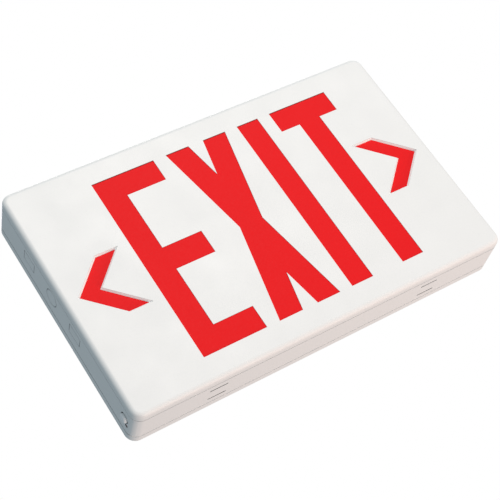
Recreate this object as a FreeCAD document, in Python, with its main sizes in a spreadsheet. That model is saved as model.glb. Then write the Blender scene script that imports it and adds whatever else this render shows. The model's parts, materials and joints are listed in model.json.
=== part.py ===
import FreeCAD, Part
import math
import os
import re

import Sketcher

# Emergency exit light: a flat moulded housing with a cut-out legend, a red lens behind
# it, two strips of light-emitting diodes, a battery, a charger board and a test button.
#
# Frame, in millimetres: X runs to the right as the legend is read, Y runs back into the
# wall and Z is up. The origin is the centre of the back face. "Forward" distances are
# measured from the back face towards the reader, so a forward distance f lies at Y = -f.

SIZES = {
    # Housing
    "width": 311.0,
    "height": 192.0,
    "depth": 38.0,
    "corner": 8.0,
    "wall": 2.4,
    "cover_rim": 6.8,
    "face_round": 3.6,
    "back_round": 1.2,
    "lip_thick": 1.1,
    "lip_depth": 2.0,
    "lip_gap": 0.15,
    "front_seam_wide": 0.5,
    "front_seam_deep": 0.8,
    "rear_seam_wide": 0.9,
    "rear_seam_deep": 0.8,
    # Legend: letters in inches of the exit sign codes, six inches high or a little more
    "letter_height": 154.3,
    "letter_gap": 10.5,
    "stem": 18.9,
    "letter_bar": 18.6,
    "middle_bar": 19.3,
    "middle_bar_rise": 0.0,
    "letter_e_wide": 50.7,
    "letter_x_wide": 51.2,
    "letter_x_arm": 19.3,
    "letter_x_waist": 19.4,
    "letter_i_wide": 18.4,
    "letter_t_wide": 51.0,
    "letter_t_stem": 18.5,
    "word_shift": 8.75,
    "chevron_tip": 143.6,
    "chevron_rise": 23.6,
    "chevron_run": 24.8,
    "chevron_band": 15.6,
    "chevron_border": 1.0,
    "chevron_recess": 1.5,
    # Lens behind the legend
    "lens_thick": 1.6,
    "lens_gap": 4.6,
    "lens_round": 4.0,
    "lens_clear": 0.12,
    "letter_sunk": 0.3,
    "chevron_sunk": 1.5,
    "stake_radius": 1.5,
    "stake_head": 2.3,
    "stake_head_high": 0.9,
    "stake_clear": 0.2,
    "stake_inset": 3.6,
    "stake_spread": 52.0,
    # Snap latches between covers and frame
    "latch_x": 90.0,
    "latch_wide": 13.0,
    "latch_thick": 1.6,
    "latch_clear": 0.3,
    "latch_nose": 0.8,
    "latch_nose_high": 1.2,
    "slot_long": 14.6,
    "slot_wide": 1.2,
    "slot_spread": 11.2,
    # Scored knockouts, on the ends, the top and the back
    "score_wide": 0.6,
    "score_deep": 0.8,
    "knockout_rise": 16.2,
    "knockout_hole": 14.0,
    "knockout_long": 15.0,
    "knockout_high": 9.6,
    "knockout_pitch": 32.5,
    "knockout_forward": 21.6,
    "wire_knockout": 22.2,
    "back_score_wide": 0.9,
    "back_score_deep": 1.2,
    # Screw slots for a ceiling or wall box, and keyholes for hanging
    "box_screw_pitch": 88.9,
    "box_slot_wide": 4.6,
    "box_slot_long": 11.0,
    "keyhole_pitch": 203.2,
    "keyhole_rise": 40.0,
    "keyhole_head": 8.4,
    "keyhole_neck": 4.4,
    "keyhole_drop": 9.0,
    # Light strips and their rails
    "strip_long": 270.0,
    "strip_wide": 11.6,
    "strip_thick": 1.6,
    "strip_drop": 6.0,
    "strip_clear": 0.1,
    "rail_thick": 1.4,
    "rail_bite": 0.8,
    "rail_foot": 1.2,
    "rail_long": 20.0,
    "rail_inner_x": 55.0,
    "rail_outer_x": 120.0,
    "diode_pitch": 15.0,
    "diode_long": 3.5,
    "diode_wide": 2.8,
    "diode_high": 1.9,
    # Web that carries the works
    "web_start": 9.4,
    "web_thick": 1.8,
    "web_top": 36.0,
    "boss_high": 3.0,
    "boss_radius": 3.2,
    "pilot_hole": 1.45,
    # Charger board
    "board_left": 132.0,
    "board_long": 112.0,
    "board_low": 81.0,
    "board_high": 35.0,
    "board_thick": 1.6,
    "board_inset": 4.5,
    "screw_hole": 1.6,
    "screw_shank": 1.4,
    "screw_long": 5.0,
    "screw_head": 2.7,
    "screw_head_high": 1.8,
    # Transformer
    "core_wide": 30.0,
    "core_high": 25.0,
    "core_stack": 8.0,
    "core_leg": 5.0,
    "core_in": 26.0,
    "former_wall": 0.8,
    "former_clear": 0.1,
    "coil_thick": 3.0,
    # Battery
    "cell_radius": 7.2,
    "cell_long": 50.5,
    "cell_count": 3,
    "battery_left": 62.0,
    "battery_low": 82.0,
    "battery_clear": 0.2,
    "strap_thick": 1.4,
    "strap_wide": 14.0,
    "strap_foot": 9.0,
    "strap_screw": 3.0,
    "cap_radius": 5.0,
    "cap_high": 16.0,
    "filter_radius": 3.15,
    "filter_high": 11.0,
    "relay_long": 19.0,
    "relay_wide": 15.0,
    "relay_high": 14.0,
    "header_long": 7.4,
    "header_wide": 5.8,
    "header_high": 7.0,
    "header_wall": 0.7,
    "plug_clear": 0.1,
    "plug_out": 2.5,
    "plug_in": 55.0,
    "plug_pitch": 11.0,
    "diode_radius": 1.35,
    "resistor_radius": 1.2,
    "axial_span": 10.0,
    "axial_body": 5.2,
    "axial_gap": 0.3,
    "axial_lead": 0.35,
    "axial_leg": 0.3,
    "axial_pitch": 4.0,
    "block_pole": 5.0,
    "block_poles": 3,
    "block_deep": 8.2,
    "block_high": 10.0,
    "block_in": 88.5,
    "block_rise": 1.0,
    "clamp_seat": 5.0,
    "clamp_screw": 1.8,
    "clamp_clear": 0.1,
    "clamp_long": 4.0,
    "clamp_slot": 0.6,
    "wire_mouth": 3.0,
    "mouth_rise": 1.2,
    "cap_in": 49.0,
    "cap_rise": 11.0,
    "filter_rise": 23.0,
    "cap_groove": 0.8,
    "relay_in": 56.0,
    "relay_rise": 1.0,
    "regulator_in": 57.0,
    "regulator_rise": 19.0,
    "tab_wide": 10.0,
    "tab_high": 15.4,
    "tab_thick": 1.3,
    "tab_hole": 1.8,
    "tab_hole_high": 12.6,
    "case_high": 9.2,
    "case_thick": 3.9,
    "leg_out": 0.6,
    "leg_wide": 0.8,
    "leg_thick": 0.5,
    "leg_pitch": 2.54,
    "diode_in": 78.0,
    "diode_rise": 4.0,
    "resistor_in": 76.0,
    "resistor_rise": 20.5,
    "resistor_far_in": 90.0,
    "resistor_far_rise": 13.0,
    # Test button, its switch and the pilot light
    "button_forward": 20.8,
    "button_drop": 84.4,
    "button_radius": 3.6,
    "button_hole": 4.4,
    "button_proud": 2.2,
    "button_dome": 1.7,
    "button_travel": 2.0,
    "flange_radius": 4.9,
    "flange_thick": 1.0,
    "flange_clear": 0.2,
    "side_board_in": 13.5,
    "side_board_thick": 1.2,
    "side_board_rise": 14.8,
    "side_board_low": 92.2,
    "side_board_deep": 15.6,
    "switch_size": 8.0,
    "switch_deep": 6.0,
    "plunger_radius": 1.75,
    "plunger_clear": 0.05,
    "plunger_proud": 3.4,
    "plunger_sunk": 3.5,
    "plunger_room": 0.3,
    "spring_wire": 0.25,
    "spring_radius": 3.0,
    "spring_turns": 3,
    "spring_clear": 0.05,
    "hole_run": 1.0,
    "lamp_forward": 15.2,
    "lamp_drop": 87.8,
    "lamp_hole": 1.6,
    "lamp_radius": 1.45,
    "lamp_long": 4.4,
    "lamp_sunk": 0.3,
    "lamp_relief": 0.3,
    "lamp_pins": 1.8,
    "lead_radius": 0.25,
    # Leads
    "wire_radius": 0.7,
    "lead_gap": 2.0,
    "lead_out": 2.0,
    "lead_pitch": 2.4,
    "lead_rise": 5.0,
    "lead_inset": 2.9,
    "lead_run": 14.0,
    "lead_turn": 4.3,
    "lead_wall": 6.1,
    "lead_spread": 2.8,
}

TOUCH = 0.001

doc = FreeCAD.newDocument("exit_light")
sheet = doc.addObject("Spreadsheet::Sheet", "sizes")
subparts = {}


def fill_sheet():
    """Writes every size to the sheet, a name, a value and an alias on each row."""
    for row, (alias, number) in enumerate(SIZES.items(), start=1):
        sheet.set(f"A{row}", alias)
        sheet.set(f"B{row}", str(number))
        sheet.setAlias(f"B{row}", alias)
    doc.recompute()


def formula(text):
    """The text with the sheet's name put before each alias in it."""
    return re.sub(r"[a-z_]+", lambda found: f"sizes.{found[0]}" if found[0] in SIZES else found[0], text)


def worth(text):
    """The number that a formula stands for."""
    answer = sheet.evalExpression(formula(str(text)))
    return float(getattr(answer, "Value", answer))


def bind(item, **formulas):
    """Binds an object's properties to formulas. Two underscores stand for a dot."""
    for name, text in formulas.items():
        item.setExpression(name.replace("__", "."), formula(str(text)))


def keep(item, label):
    """Names an object as a sub-part of the light."""
    item.Label = label
    subparts[label] = item
    return item


# Sketches -----------------------------------------------------------------------------


def sketch_on(body, role, offset, name):
    """A sketch on one of the body's origin planes, moved along the plane's normal."""
    sketch = body.newObject("Sketcher::SketchObject", name)
    plane = next(item for item in body.Origin.OriginFeatures if item.Role == role)
    sketch.AttachmentSupport = [(plane, "")]
    sketch.MapMode = "FlatFace"
    bind(sketch, AttachmentOffset__Base__z=offset)
    return sketch


def hold(sketch, kind, where, text):
    """Adds a dimension from the sketch's origin to a point, bound to a formula."""
    line, point = where
    index = sketch.addConstraint(Sketcher.Constraint(kind, -1, 1, line, point, worth(text)))
    sketch.setExpression(f"Constraints[{index}]", formula(str(text)))


def polygon(sketch, corners):
    """A closed outline through the corners, each a pair of formulas."""
    places = [FreeCAD.Vector(worth(across), worth(up), 0) for across, up in corners]
    first = sketch.GeometryCount
    count = len(places)
    for index, place in enumerate(places):
        sketch.addGeometry(Part.LineSegment(place, places[(index + 1) % count]), False)
    for index, (across, up) in enumerate(corners):
        after = first + (index + 1) % count
        sketch.addConstraint(Sketcher.Constraint("Coincident", first + index, 2, after, 1))
        hold(sketch, "DistanceX", (first + index, 1), across)
        hold(sketch, "DistanceY", (first + index, 1), up)


def rectangle(sketch, left, low, right, high):
    """A rectangle between two corners."""
    polygon(sketch, [(left, low), (right, low), (right, high), (left, high)])


def circle(sketch, across, up, radius):
    """A circle with its centre and radius bound to formulas."""
    centre = FreeCAD.Vector(worth(across), worth(up), 0)
    shape = Part.Circle(centre, FreeCAD.Vector(0, 0, 1), worth(radius))
    ring = sketch.addGeometry(shape, False)
    hold(sketch, "DistanceX", (ring, 3), across)
    hold(sketch, "DistanceY", (ring, 3), up)
    index = sketch.addConstraint(Sketcher.Constraint("Radius", ring, worth(radius)))
    sketch.setExpression(f"Constraints[{index}]", formula(str(radius)))


def rounded(sketch, half_wide, half_high, radius):
    """A rectangle about the origin with rounded corners."""
    reach_x = worth(half_wide)
    reach_y = worth(half_high)
    bend = worth(radius)
    along = Part.LineSegment
    spot = FreeCAD.Vector
    first = sketch.GeometryCount
    sides = [
        along(spot(bend - reach_x, -reach_y, 0), spot(reach_x - bend, -reach_y, 0)),
        along(spot(reach_x, bend - reach_y, 0), spot(reach_x, reach_y - bend, 0)),
        along(spot(reach_x - bend, reach_y, 0), spot(bend - reach_x, reach_y, 0)),
        along(spot(-reach_x, reach_y - bend, 0), spot(-reach_x, bend - reach_y, 0)),
    ]
    middles = [(1, -1), (1, 1), (-1, 1), (-1, -1)]
    for index, (right, up) in enumerate(middles):
        sketch.addGeometry(sides[index], False)
        centre = spot(right * (reach_x - bend), up * (reach_y - bend), 0)
        turn = Part.Circle(centre, spot(0, 0, 1), bend)
        start = (index - 1) * math.pi / 2
        sketch.addGeometry(Part.ArcOfCircle(turn, start, start + math.pi / 2), False)
    for index in range(4):
        side = first + 2 * index
        after = first + 2 * ((index + 1) % 4)
        sketch.addConstraint(Sketcher.Constraint("Tangent", side, 2, side + 1, 1))
        sketch.addConstraint(Sketcher.Constraint("Tangent", side + 1, 2, after, 1))
        level = "Horizontal" if index % 2 == 0 else "Vertical"
        sketch.addConstraint(Sketcher.Constraint(level, side))
    for index in range(1, 4):
        sketch.addConstraint(Sketcher.Constraint("Equal", first + 1, first + 1 + 2 * index))
    hold(sketch, "DistanceY", (first, 1), f"-({half_high})")
    hold(sketch, "DistanceX", (first + 2, 1), half_wide)
    hold(sketch, "DistanceY", (first + 4, 1), half_high)
    hold(sketch, "DistanceX", (first + 6, 1), f"-({half_wide})")
    index = sketch.addConstraint(Sketcher.Constraint("Radius", first + 1, bend))
    sketch.setExpression(f"Constraints[{index}]", formula(radius))


def ring_of_housing(sketch, inset):
    """The housing's outline, moved inwards by a distance."""
    rounded(sketch, f"width / 2 - ({inset})", f"height / 2 - ({inset})", f"corner - ({inset})")


# Features ------------------------------------------------------------------------------


def new_body(label):
    """An empty body that is kept as a sub-part."""
    return keep(doc.addObject("PartDesign::Body", label), label)


def pad(body, sketch, length, back=False, middle=False):
    """Adds material, along the sketch's normal or against it."""
    feature = body.newObject("PartDesign::Pad", f"{sketch.Name}_pad")
    feature.Profile = sketch
    feature.Reversed = back
    feature.Midplane = middle
    bind(feature, Length=length)
    body.Tip = feature
    return feature


def pocket(body, sketch, length, ahead=False):
    """Takes material away, against the sketch's normal or along it, and checks that it did."""
    doc.recompute()
    before = body.Shape.Volume
    feature = body.newObject("PartDesign::Pocket", f"{sketch.Name}_pocket")
    feature.Profile = sketch
    feature.Reversed = ahead
    bind(feature, Length=length)
    body.Tip = feature
    doc.recompute()
    if body.Shape.Volume >= before:
        raise RuntimeError(f"{feature.Name} cuts nothing")
    return feature


def round_edges(body, name, radius, wanted):
    """Rounds each edge of the body that the test accepts."""
    doc.recompute()
    edges = [f"Edge{n}" for n, edge in enumerate(body.Shape.Edges, start=1) if wanted(edge)]
    base = body.Tip
    feature = body.newObject("PartDesign::Fillet", name)
    feature.Base = (base, edges)
    bind(feature, Radius=radius)
    body.Tip = feature
    return feature


def lies_at(edge, level):
    """Says whether both ends of an edge lie at one Y."""
    return all(abs(end.Y - level) < TOUCH for end in edge.Vertexes)


def mirror(body, name, features, role):
    """Repeats features on the other side of one of the body's origin planes."""
    plane = next(item for item in body.Origin.OriginFeatures if item.Role == role)
    feature = body.newObject("PartDesign::Mirrored", name)
    feature.Originals = features
    feature.MirrorPlane = (plane, [""])
    body.Tip = feature
    return feature


# Solids --------------------------------------------------------------------------------


def place(item, across, forward, up):
    """Puts a primitive at a place whose second number is a forward distance."""
    bind(item, Placement__Base__x=across, Placement__Base__y=f"-({forward})", Placement__Base__z=up)


def block(across, forward, up, wide, thick, high):
    """A box from its left, rear and low faces, with its three sizes."""
    item = doc.addObject("Part::Box", "block")
    bind(item, Length=wide, Width=thick, Height=high)
    place(item, across, f"({forward}) + ({thick})", up)
    return item


TURNS = {
    "x": FreeCAD.Rotation(FreeCAD.Vector(0, 1, 0), 90),
    "y": FreeCAD.Rotation(FreeCAD.Vector(1, 0, 0), 90),
    "z": FreeCAD.Rotation(),
}


def rod(across, forward, up, along, radius, length):
    """A cylinder from its starting point, along x, forward ("y") or up ("z")."""
    item = doc.addObject("Part::Cylinder", "rod")
    item.Placement.Rotation = TURNS[along]
    bind(item, Radius=radius, Height=length)
    place(item, across, forward, up)
    return item


def ball(across, forward, up, radius):
    """A sphere about a point."""
    item = doc.addObject("Part::Sphere", "ball")
    bind(item, Radius=radius)
    place(item, across, forward, up)
    return item


def fused(items):
    """Several solids joined into one."""
    item = doc.addObject("Part::MultiFuse", "joined")
    item.Shapes = items
    return item


def less(base, tools):
    """A solid with others cut from it."""
    item = doc.addObject("Part::Cut", "cut")
    item.Base = base
    item.Tool = tools[0] if len(tools) == 1 else fused(tools)
    return item


def grouped(items):
    """Separate solids of one kind, kept as one object."""
    item = doc.addObject("Part::Compound", "group")
    item.Links = items
    return item


def bent_wire(points, radius):
    """A round wire through its points, with a tangent arc at each bend."""
    spots = [FreeCAD.Vector(across, -forward, up) for across, forward, up in points]
    edges = []
    start = spots[0]
    for before, here, after in zip(spots, spots[1:], spots[2:]):
        back = before - here
        ahead = after - here
        turn = math.pi - back.getAngle(ahead)
        reach = 0.45 * min(back.Length, ahead.Length)
        enter = here + back * (reach / back.Length)
        leave = here + ahead * (reach / ahead.Length)
        inward = (back.normalize() + ahead.normalize()).normalize()
        bend = reach / math.tan(turn / 2)
        centre_gap = bend / math.cos(turn / 2)
        middle = here + inward * (centre_gap - bend)
        edges.append(Part.LineSegment(start, enter).toShape())
        edges.append(Part.Arc(enter, middle, leave).toShape())
        start = leave
    edges.append(Part.LineSegment(start, spots[-1]).toShape())
    path = Part.Wire(edges)
    heading = (spots[1] - spots[0]).normalize()
    section = Part.Wire(Part.Circle(spots[0], heading, radius).toShape())
    tube = path.makePipeShell([section], True, False)
    wanted = math.pi * radius**2 * path.Length
    if abs(tube.Volume - wanted) > 0.02 * wanted:
        raise RuntimeError("a wire's volume is not its section times its length")
    return tube


def wire(label, points):
    """Keeps a wire as a sub-part. Its points are pairs of formulas turned to numbers."""
    spots = [tuple(worth(text) for text in point) for point in points]
    item = doc.addObject("Part::Feature", label)
    item.Shape = bent_wire(spots, worth("wire_radius"))
    return keep(item, label)


# Legend outlines -------------------------------------------------------------------------
# Each takes a distance "grow" by which the outline is moved outwards.

TOP = "letter_height / 2"
WORD_WIDE = "(letter_e_wide + letter_x_wide + letter_i_wide + letter_t_wide + 3 * letter_gap)"
E_LEFT = f"word_shift - {WORD_WIDE} / 2"
X_LEFT = f"{E_LEFT} + letter_e_wide + letter_gap"
I_LEFT = f"{X_LEFT} + letter_x_wide + letter_gap"
T_LEFT = f"{I_LEFT} + letter_i_wide + letter_gap"


def letter_e(grow):
    """A capital E, from its lower left corner round to the right."""
    left = f"{E_LEFT} - ({grow})"
    inner = f"{E_LEFT} + stem + ({grow})"
    right = f"{E_LEFT} + letter_e_wide + ({grow})"
    arm_top = f"middle_bar_rise + middle_bar / 2 + ({grow})"
    arm_low = f"middle_bar_rise - middle_bar / 2 - ({grow})"
    high = f"{TOP} + ({grow})"
    low = f"-{TOP} - ({grow})"
    under = f"{TOP} - letter_bar - ({grow})"
    over = f"-{TOP} + letter_bar + ({grow})"
    return [
        (left, low), (right, low), (right, over), (inner, over), (inner, arm_low), (right, arm_low),
        (right, arm_top), (inner, arm_top), (inner, under), (right, under), (right, high), (left, high),
    ]


def letter_x(grow):
    """A capital X of two crossed arms with parallel edges."""
    middle = f"({X_LEFT} + letter_x_wide / 2)"
    slope = "((letter_x_wide - letter_x_waist) / letter_height)"
    shift = f"(({grow}) * sqrt(1 + {slope} * {slope}))"
    outer = f"(letter_x_wide / 2 + {slope} * ({grow}) + {shift})"
    inner = f"(letter_x_wide / 2 - letter_x_arm + {slope} * ({grow}) - {shift})"
    waist = f"(letter_x_waist / 2 + {shift})"
    high = f"({TOP} + ({grow}))"
    notch = f"({high} - {inner} / {slope})"
    return [
        (f"{middle} - {outer}", f"-{high}"), (f"{middle} - {inner}", f"-{high}"),
        (middle, f"-{notch}"), (f"{middle} + {inner}", f"-{high}"),
        (f"{middle} + {outer}", f"-{high}"), (f"{middle} + {waist}", "0"),
        (f"{middle} + {outer}", high), (f"{middle} + {inner}", high),
        (middle, notch), (f"{middle} - {inner}", high),
        (f"{middle} - {outer}", high), (f"{middle} - {waist}", "0"),
    ]


def letter_i(grow):
    """A capital I, one plain stroke."""
    left = f"{I_LEFT} - ({grow})"
    right = f"{I_LEFT} + letter_i_wide + ({grow})"
    high = f"{TOP} + ({grow})"
    low = f"-{TOP} - ({grow})"
    return [(left, low), (right, low), (right, high), (left, high)]


def letter_t(grow):
    """A capital T."""
    middle = f"{T_LEFT} + letter_t_wide / 2"
    reach = f"letter_t_wide / 2 + ({grow})"
    half = f"letter_t_stem / 2 + ({grow})"
    high = f"{TOP} + ({grow})"
    low = f"-{TOP} - ({grow})"
    under = f"{TOP} - letter_bar - ({grow})"
    return [
        (f"{middle} - ({half})", low), (f"{middle} + {half}", low), (f"{middle} + {half}", under),
        (f"{middle} + {reach}", under), (f"{middle} + {reach}", high), (f"{middle} - ({reach})", high),
        (f"{middle} - ({reach})", under), (f"{middle} - ({half})", under),
    ]


def chevron(side, grow):
    """A direction arrow of two slanted arms. Side is "-" for the left one and "" for the right."""
    slant = "sqrt(chevron_run * chevron_run + chevron_rise * chevron_rise) / chevron_rise"
    shift = f"({grow}) * {slant}"
    rise = f"(chevron_rise + ({grow}))"
    back = f"{rise} * chevron_run / chevron_rise"
    tip = f"chevron_tip + {shift}"
    notch = f"chevron_tip - chevron_band - {shift}"
    corners = [
        (tip, "0"), (f"{tip} - {back}", rise), (f"{notch} - {back}", rise),
        (notch, "0"), (f"{notch} - {back}", f"-{rise}"), (f"{tip} - {back}", f"-{rise}"),
    ]
    return [(f"{side}({across})", up) for across, up in corners]


LETTERS = [letter_e, letter_x, letter_i, letter_t]
STAKES = [
    (f"{side}({across})", f"{level}(height / 2 - wall - lens_gap - stake_inset)")
    for side in ("", "-")
    for level in ("", "-")
    for across in ("stake_spread", "width / 2 - wall - lens_gap - stake_inset")
]
LATCH_EDGE = "height / 2 - wall - latch_clear"
SLOT_FRONT = "depth / 2 + slot_spread / 2"
SLOT_REAR = "depth / 2 - slot_spread / 2"
WEB_FRONT = "web_start + web_thick"
BOARD_BACK = f"{WEB_FRONT} + boss_high"
BOARD_FRONT = f"{BOARD_BACK} + board_thick"
BOARD_SCREWS = [
    (f"-board_left + {across}", f"-board_low + {up}")
    for across in ("board_inset", "board_long - board_inset")
    for up in ("board_inset", "board_high - board_inset")
]
PLUGS = {
    name: f"-board_left + plug_in + {number} * plug_pitch"
    for number, name in enumerate(("lower_strip", "test", "upper_strip", "battery"))
}
PLUG_FRONT = f"{BOARD_FRONT} + header_high + plug_out"
PLUG_LEVEL = "-board_low + board_high - header_wide / 2"
BATTERY_RIGHT = "battery_left + cell_long"
BATTERY_MIDDLE = "-battery_low + cell_count * cell_radius"
STRAP_SCREWS = [
    ("battery_left - battery_clear - strap_thick - strap_foot / 2", BATTERY_MIDDLE),
    (f"{BATTERY_RIGHT} + battery_clear + strap_thick + strap_foot / 2", BATTERY_MIDDLE),
]


# Housing -------------------------------------------------------------------------------


def cover_tray(body, start, ahead):
    """The rim, plate and lip of a cover. Start is the seam, and ahead says that it opens rearwards."""
    face = f"({start}) + cover_rim" if ahead else "0"
    outside = sketch_on(body, "XZ_Plane", start, "outside")
    ring_of_housing(outside, "0")
    pad(body, outside, "cover_rim", back=not ahead)
    radius = "face_round" if ahead else "back_round"
    round_edges(body, "face_edge", radius, lambda edge: lies_at(edge, -worth(face)))
    hollow = sketch_on(body, "XZ_Plane", start, "hollow")
    ring_of_housing(hollow, "wall")
    pocket(body, hollow, "cover_rim - wall", ahead=ahead)
    lip = sketch_on(body, "XZ_Plane", start, "lip")
    ring_of_housing(lip, "wall - lip_thick")
    ring_of_housing(lip, "wall")
    pad(body, lip, "lip_depth", back=ahead)


def cover_latches(body, start, slot, ahead):
    """Two nosed tongues below, and two plain ones above, each standing in the cover's tray."""
    root = sketch_on(body, "XZ_Plane", start, "latch_roots")
    tongue = sketch_on(body, "XZ_Plane", start, "latch_tongues")
    nose = sketch_on(body, "XZ_Plane", f"{slot} - latch_nose / 2", "latch_noses")
    for side in ("", "-"):
        left = f"{side}latch_x - latch_wide / 2"
        right = f"{side}latch_x + latch_wide / 2"
        for level in ("", "-"):
            near = f"{level}({LATCH_EDGE} - latch_thick)"
            rectangle(root, left, near, right, f"{level}(height / 2 - wall)")
            rectangle(tongue, left, near, right, f"{level}({LATCH_EDGE})")
        rectangle(
            nose, left, f"-({LATCH_EDGE} + latch_nose_high)", right, f"-({LATCH_EDGE} - latch_thick / 2)",
        )
    pad(body, root, "cover_rim - wall", back=not ahead)
    gap = f"abs({start} - ({slot})) + latch_nose / 2"
    pad(body, tongue, gap, back=ahead)
    pad(body, nose, "latch_nose")


def make_front_cover():
    """The face with its legend, its rim, its lip, its latches and the stakes that hold the lens."""
    body = new_body("front_cover")
    cover_tray(body, "depth - cover_rim", True)
    cover_latches(body, "depth - cover_rim", SLOT_FRONT, True)
    legend = sketch_on(body, "XZ_Plane", "depth", "legend")
    for letter in LETTERS:
        polygon(legend, letter("0"))
    for side in ("", "-"):
        polygon(legend, chevron(side, "0"))
    pocket(body, legend, "wall")
    borders = sketch_on(body, "XZ_Plane", "depth", "chevron_borders")
    for side in ("", "-"):
        polygon(borders, chevron(side, "chevron_border"))
    slope = pocket(body, borders, "chevron_recess")
    bind(slope, TaperAngle="-atan(chevron_border / chevron_recess)")
    stakes = sketch_on(body, "XZ_Plane", "depth - wall", "stakes")
    for across, up in STAKES:
        circle(stakes, across, up, "stake_radius")
    pad(body, stakes, "lens_thick + stake_head_high", back=True)
    heads = sketch_on(body, "XZ_Plane", "depth - wall - lens_thick", "stake_heads")
    for across, up in STAKES:
        circle(heads, across, up, "stake_head")
    pad(body, heads, "stake_head_high", back=True)


def keyhole(body):
    """Two keyholes for hanging the light on screws, each a round mouth with a narrow neck above."""
    mouths = sketch_on(body, "XZ_Plane", "0", "keyhole_mouths")
    necks = sketch_on(body, "XZ_Plane", "0", "keyhole_necks")
    tops = sketch_on(body, "XZ_Plane", "0", "keyhole_tops")
    for side in ("", "-"):
        middle = f"{side}keyhole_pitch / 2"
        circle(mouths, middle, "keyhole_rise - keyhole_drop", "keyhole_head / 2")
        left = f"{middle} - keyhole_neck / 2"
        right = f"{middle} + keyhole_neck / 2"
        rectangle(necks, left, "keyhole_rise - keyhole_drop", right, "keyhole_rise")
        circle(tops, middle, "keyhole_rise", "keyhole_neck / 2")
    for sketch in (mouths, necks, tops):
        pocket(body, sketch, "wall", ahead=True)


def make_rear_cover():
    """The back plate, with screw slots, keyholes and a scored knockout for the supply wires."""
    body = new_body("rear_cover")
    cover_tray(body, "cover_rim", False)
    cover_latches(body, "cover_rim", SLOT_REAR, False)
    slots = sketch_on(body, "XZ_Plane", "0", "box_slots")
    ends = sketch_on(body, "XZ_Plane", "0", "box_slot_ends")
    for side in ("", "-"):
        middle = f"{side}box_screw_pitch / 2"
        straight = "(box_slot_long - box_slot_wide) / 2"
        left = f"{middle} - {straight}"
        right = f"{middle} + {straight}"
        rectangle(slots, left, "-box_slot_wide / 2", right, "box_slot_wide / 2")
        circle(ends, left, "0", "box_slot_wide / 2")
        circle(ends, right, "0", "box_slot_wide / 2")
    pocket(body, slots, "wall", ahead=True)
    pocket(body, ends, "wall", ahead=True)
    keyhole(body)
    score = sketch_on(body, "XZ_Plane", "0", "wire_score")
    circle(score, "0", "0", "wire_knockout / 2")
    circle(score, "0", "0", "wire_knockout / 2 - back_score_wide")
    pocket(body, score, "back_score_deep", ahead=True)


def seam(body, offset, wide, deep, ahead, name):
    """A shadow line round the frame beside a cover."""
    line = sketch_on(body, "XZ_Plane", offset, name)
    ring_of_housing(line, "-wall")
    ring_of_housing(line, deep)
    pocket(body, line, wide, ahead=ahead)


def knockouts(body, role, offset, ahead, name, spot):
    """A scored circle between two scored rectangles. Spot turns a place along the row into a point."""
    marks = sketch_on(body, role, offset, name)
    for cut in ("", "score_wide"):
        inset = cut or "0"
        across, up = spot("0")
        circle(marks, across, up, f"knockout_hole / 2 - {inset}")
        for side in ("", "-"):
            corners = []
            for end, edge in (("-", "-"), ("+", "-"), ("+", "+"), ("-", "+")):
                along = f"{side}knockout_pitch {end} (knockout_long / 2 - {inset})"
                across, up = spot(along, f"{edge} (knockout_high / 2 - {inset})")
                corners.append((across, up))
            polygon(marks, corners)
    return pocket(body, marks, "score_deep", ahead=ahead)


def release_slots(body):
    """Slots under the frame, where a screwdriver frees the latches of either cover."""
    slots = sketch_on(body, "XY_Plane", "-height / 2", "release_slots")
    for side in ("", "-"):
        left = f"{side}latch_x - slot_long / 2"
        right = f"{side}latch_x + slot_long / 2"
        for middle in (SLOT_FRONT, SLOT_REAR):
            rectangle(slots, left, f"-({middle}) - slot_wide / 2", right, f"-({middle}) + slot_wide / 2")
    pocket(body, slots, "wall", ahead=True)


def web(body):
    """The inner web that carries the battery and the board, with bosses and latch notches."""
    plate = sketch_on(body, "XZ_Plane", "web_start", "web")
    edge = "width / 2 - wall / 2"
    low = "-height / 2 + wall / 2"
    notch_top = f"-({LATCH_EDGE} - latch_thick - latch_clear)"
    notch = "latch_wide / 2 + latch_clear"
    polygon(plate, [
        (f"-({edge})", low), (f"-latch_x - ({notch})", low), (f"-latch_x - ({notch})", notch_top),
        (f"-latch_x + {notch}", notch_top), (f"-latch_x + {notch}", low), (f"latch_x - ({notch})", low),
        (f"latch_x - ({notch})", notch_top), (f"latch_x + {notch}", notch_top), (f"latch_x + {notch}", low),
        (edge, low), (edge, "-web_top"), (f"-({edge})", "-web_top"),
    ])
    pad(body, plate, "web_thick")
    bosses = sketch_on(body, "XZ_Plane", "web_start + web_thick / 2", "bosses")
    pilots = sketch_on(body, "XZ_Plane", "web_start", "pilots")
    for across, up in BOARD_SCREWS:
        circle(bosses, across, up, "boss_radius")
        circle(pilots, across, up, "pilot_hole")
    for across, up in STRAP_SCREWS:
        circle(pilots, across, up, "pilot_hole")
    pad(body, bosses, "boss_high + web_thick / 2")
    pocket(body, pilots, "boss_high + web_thick", ahead=True)


def rails(body):
    """Grooved rails along the top and the bottom, which the light strips slide into."""
    made = []
    seat = "height / 2 - wall - strip_drop"
    groove_low = f"{seat} - strip_thick - strip_clear"
    foot = f"{groove_low} - rail_foot"
    for number, middle in enumerate(("-rail_outer_x", "-rail_inner_x", "rail_inner_x", "rail_outer_x")):
        profile = sketch_on(body, "YZ_Plane", middle, f"rail_{number}")
        for side in ("-", "+"):
            base = "-depth / 2 " + side + " (strip_wide / 2 + strip_clear {shift})"
            bite = base.format(shift="- rail_bite")
            floor = base.format(shift="")
            outer = base.format(shift="+ rail_thick - rail_bite + strip_clear")
            polygon(profile, [
                (outer, foot), (bite, foot), (bite, groove_low), (floor, groove_low),
                (floor, f"{seat} + strip_clear"), (bite, f"{seat} + strip_clear"),
                (bite, "height / 2 - wall / 2"), (outer, "height / 2 - wall / 2"),
            ])
        made.append(pad(body, profile, "rail_long", middle=True))
    mirror(body, "lower_rails", made, "XY_Plane")


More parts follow.
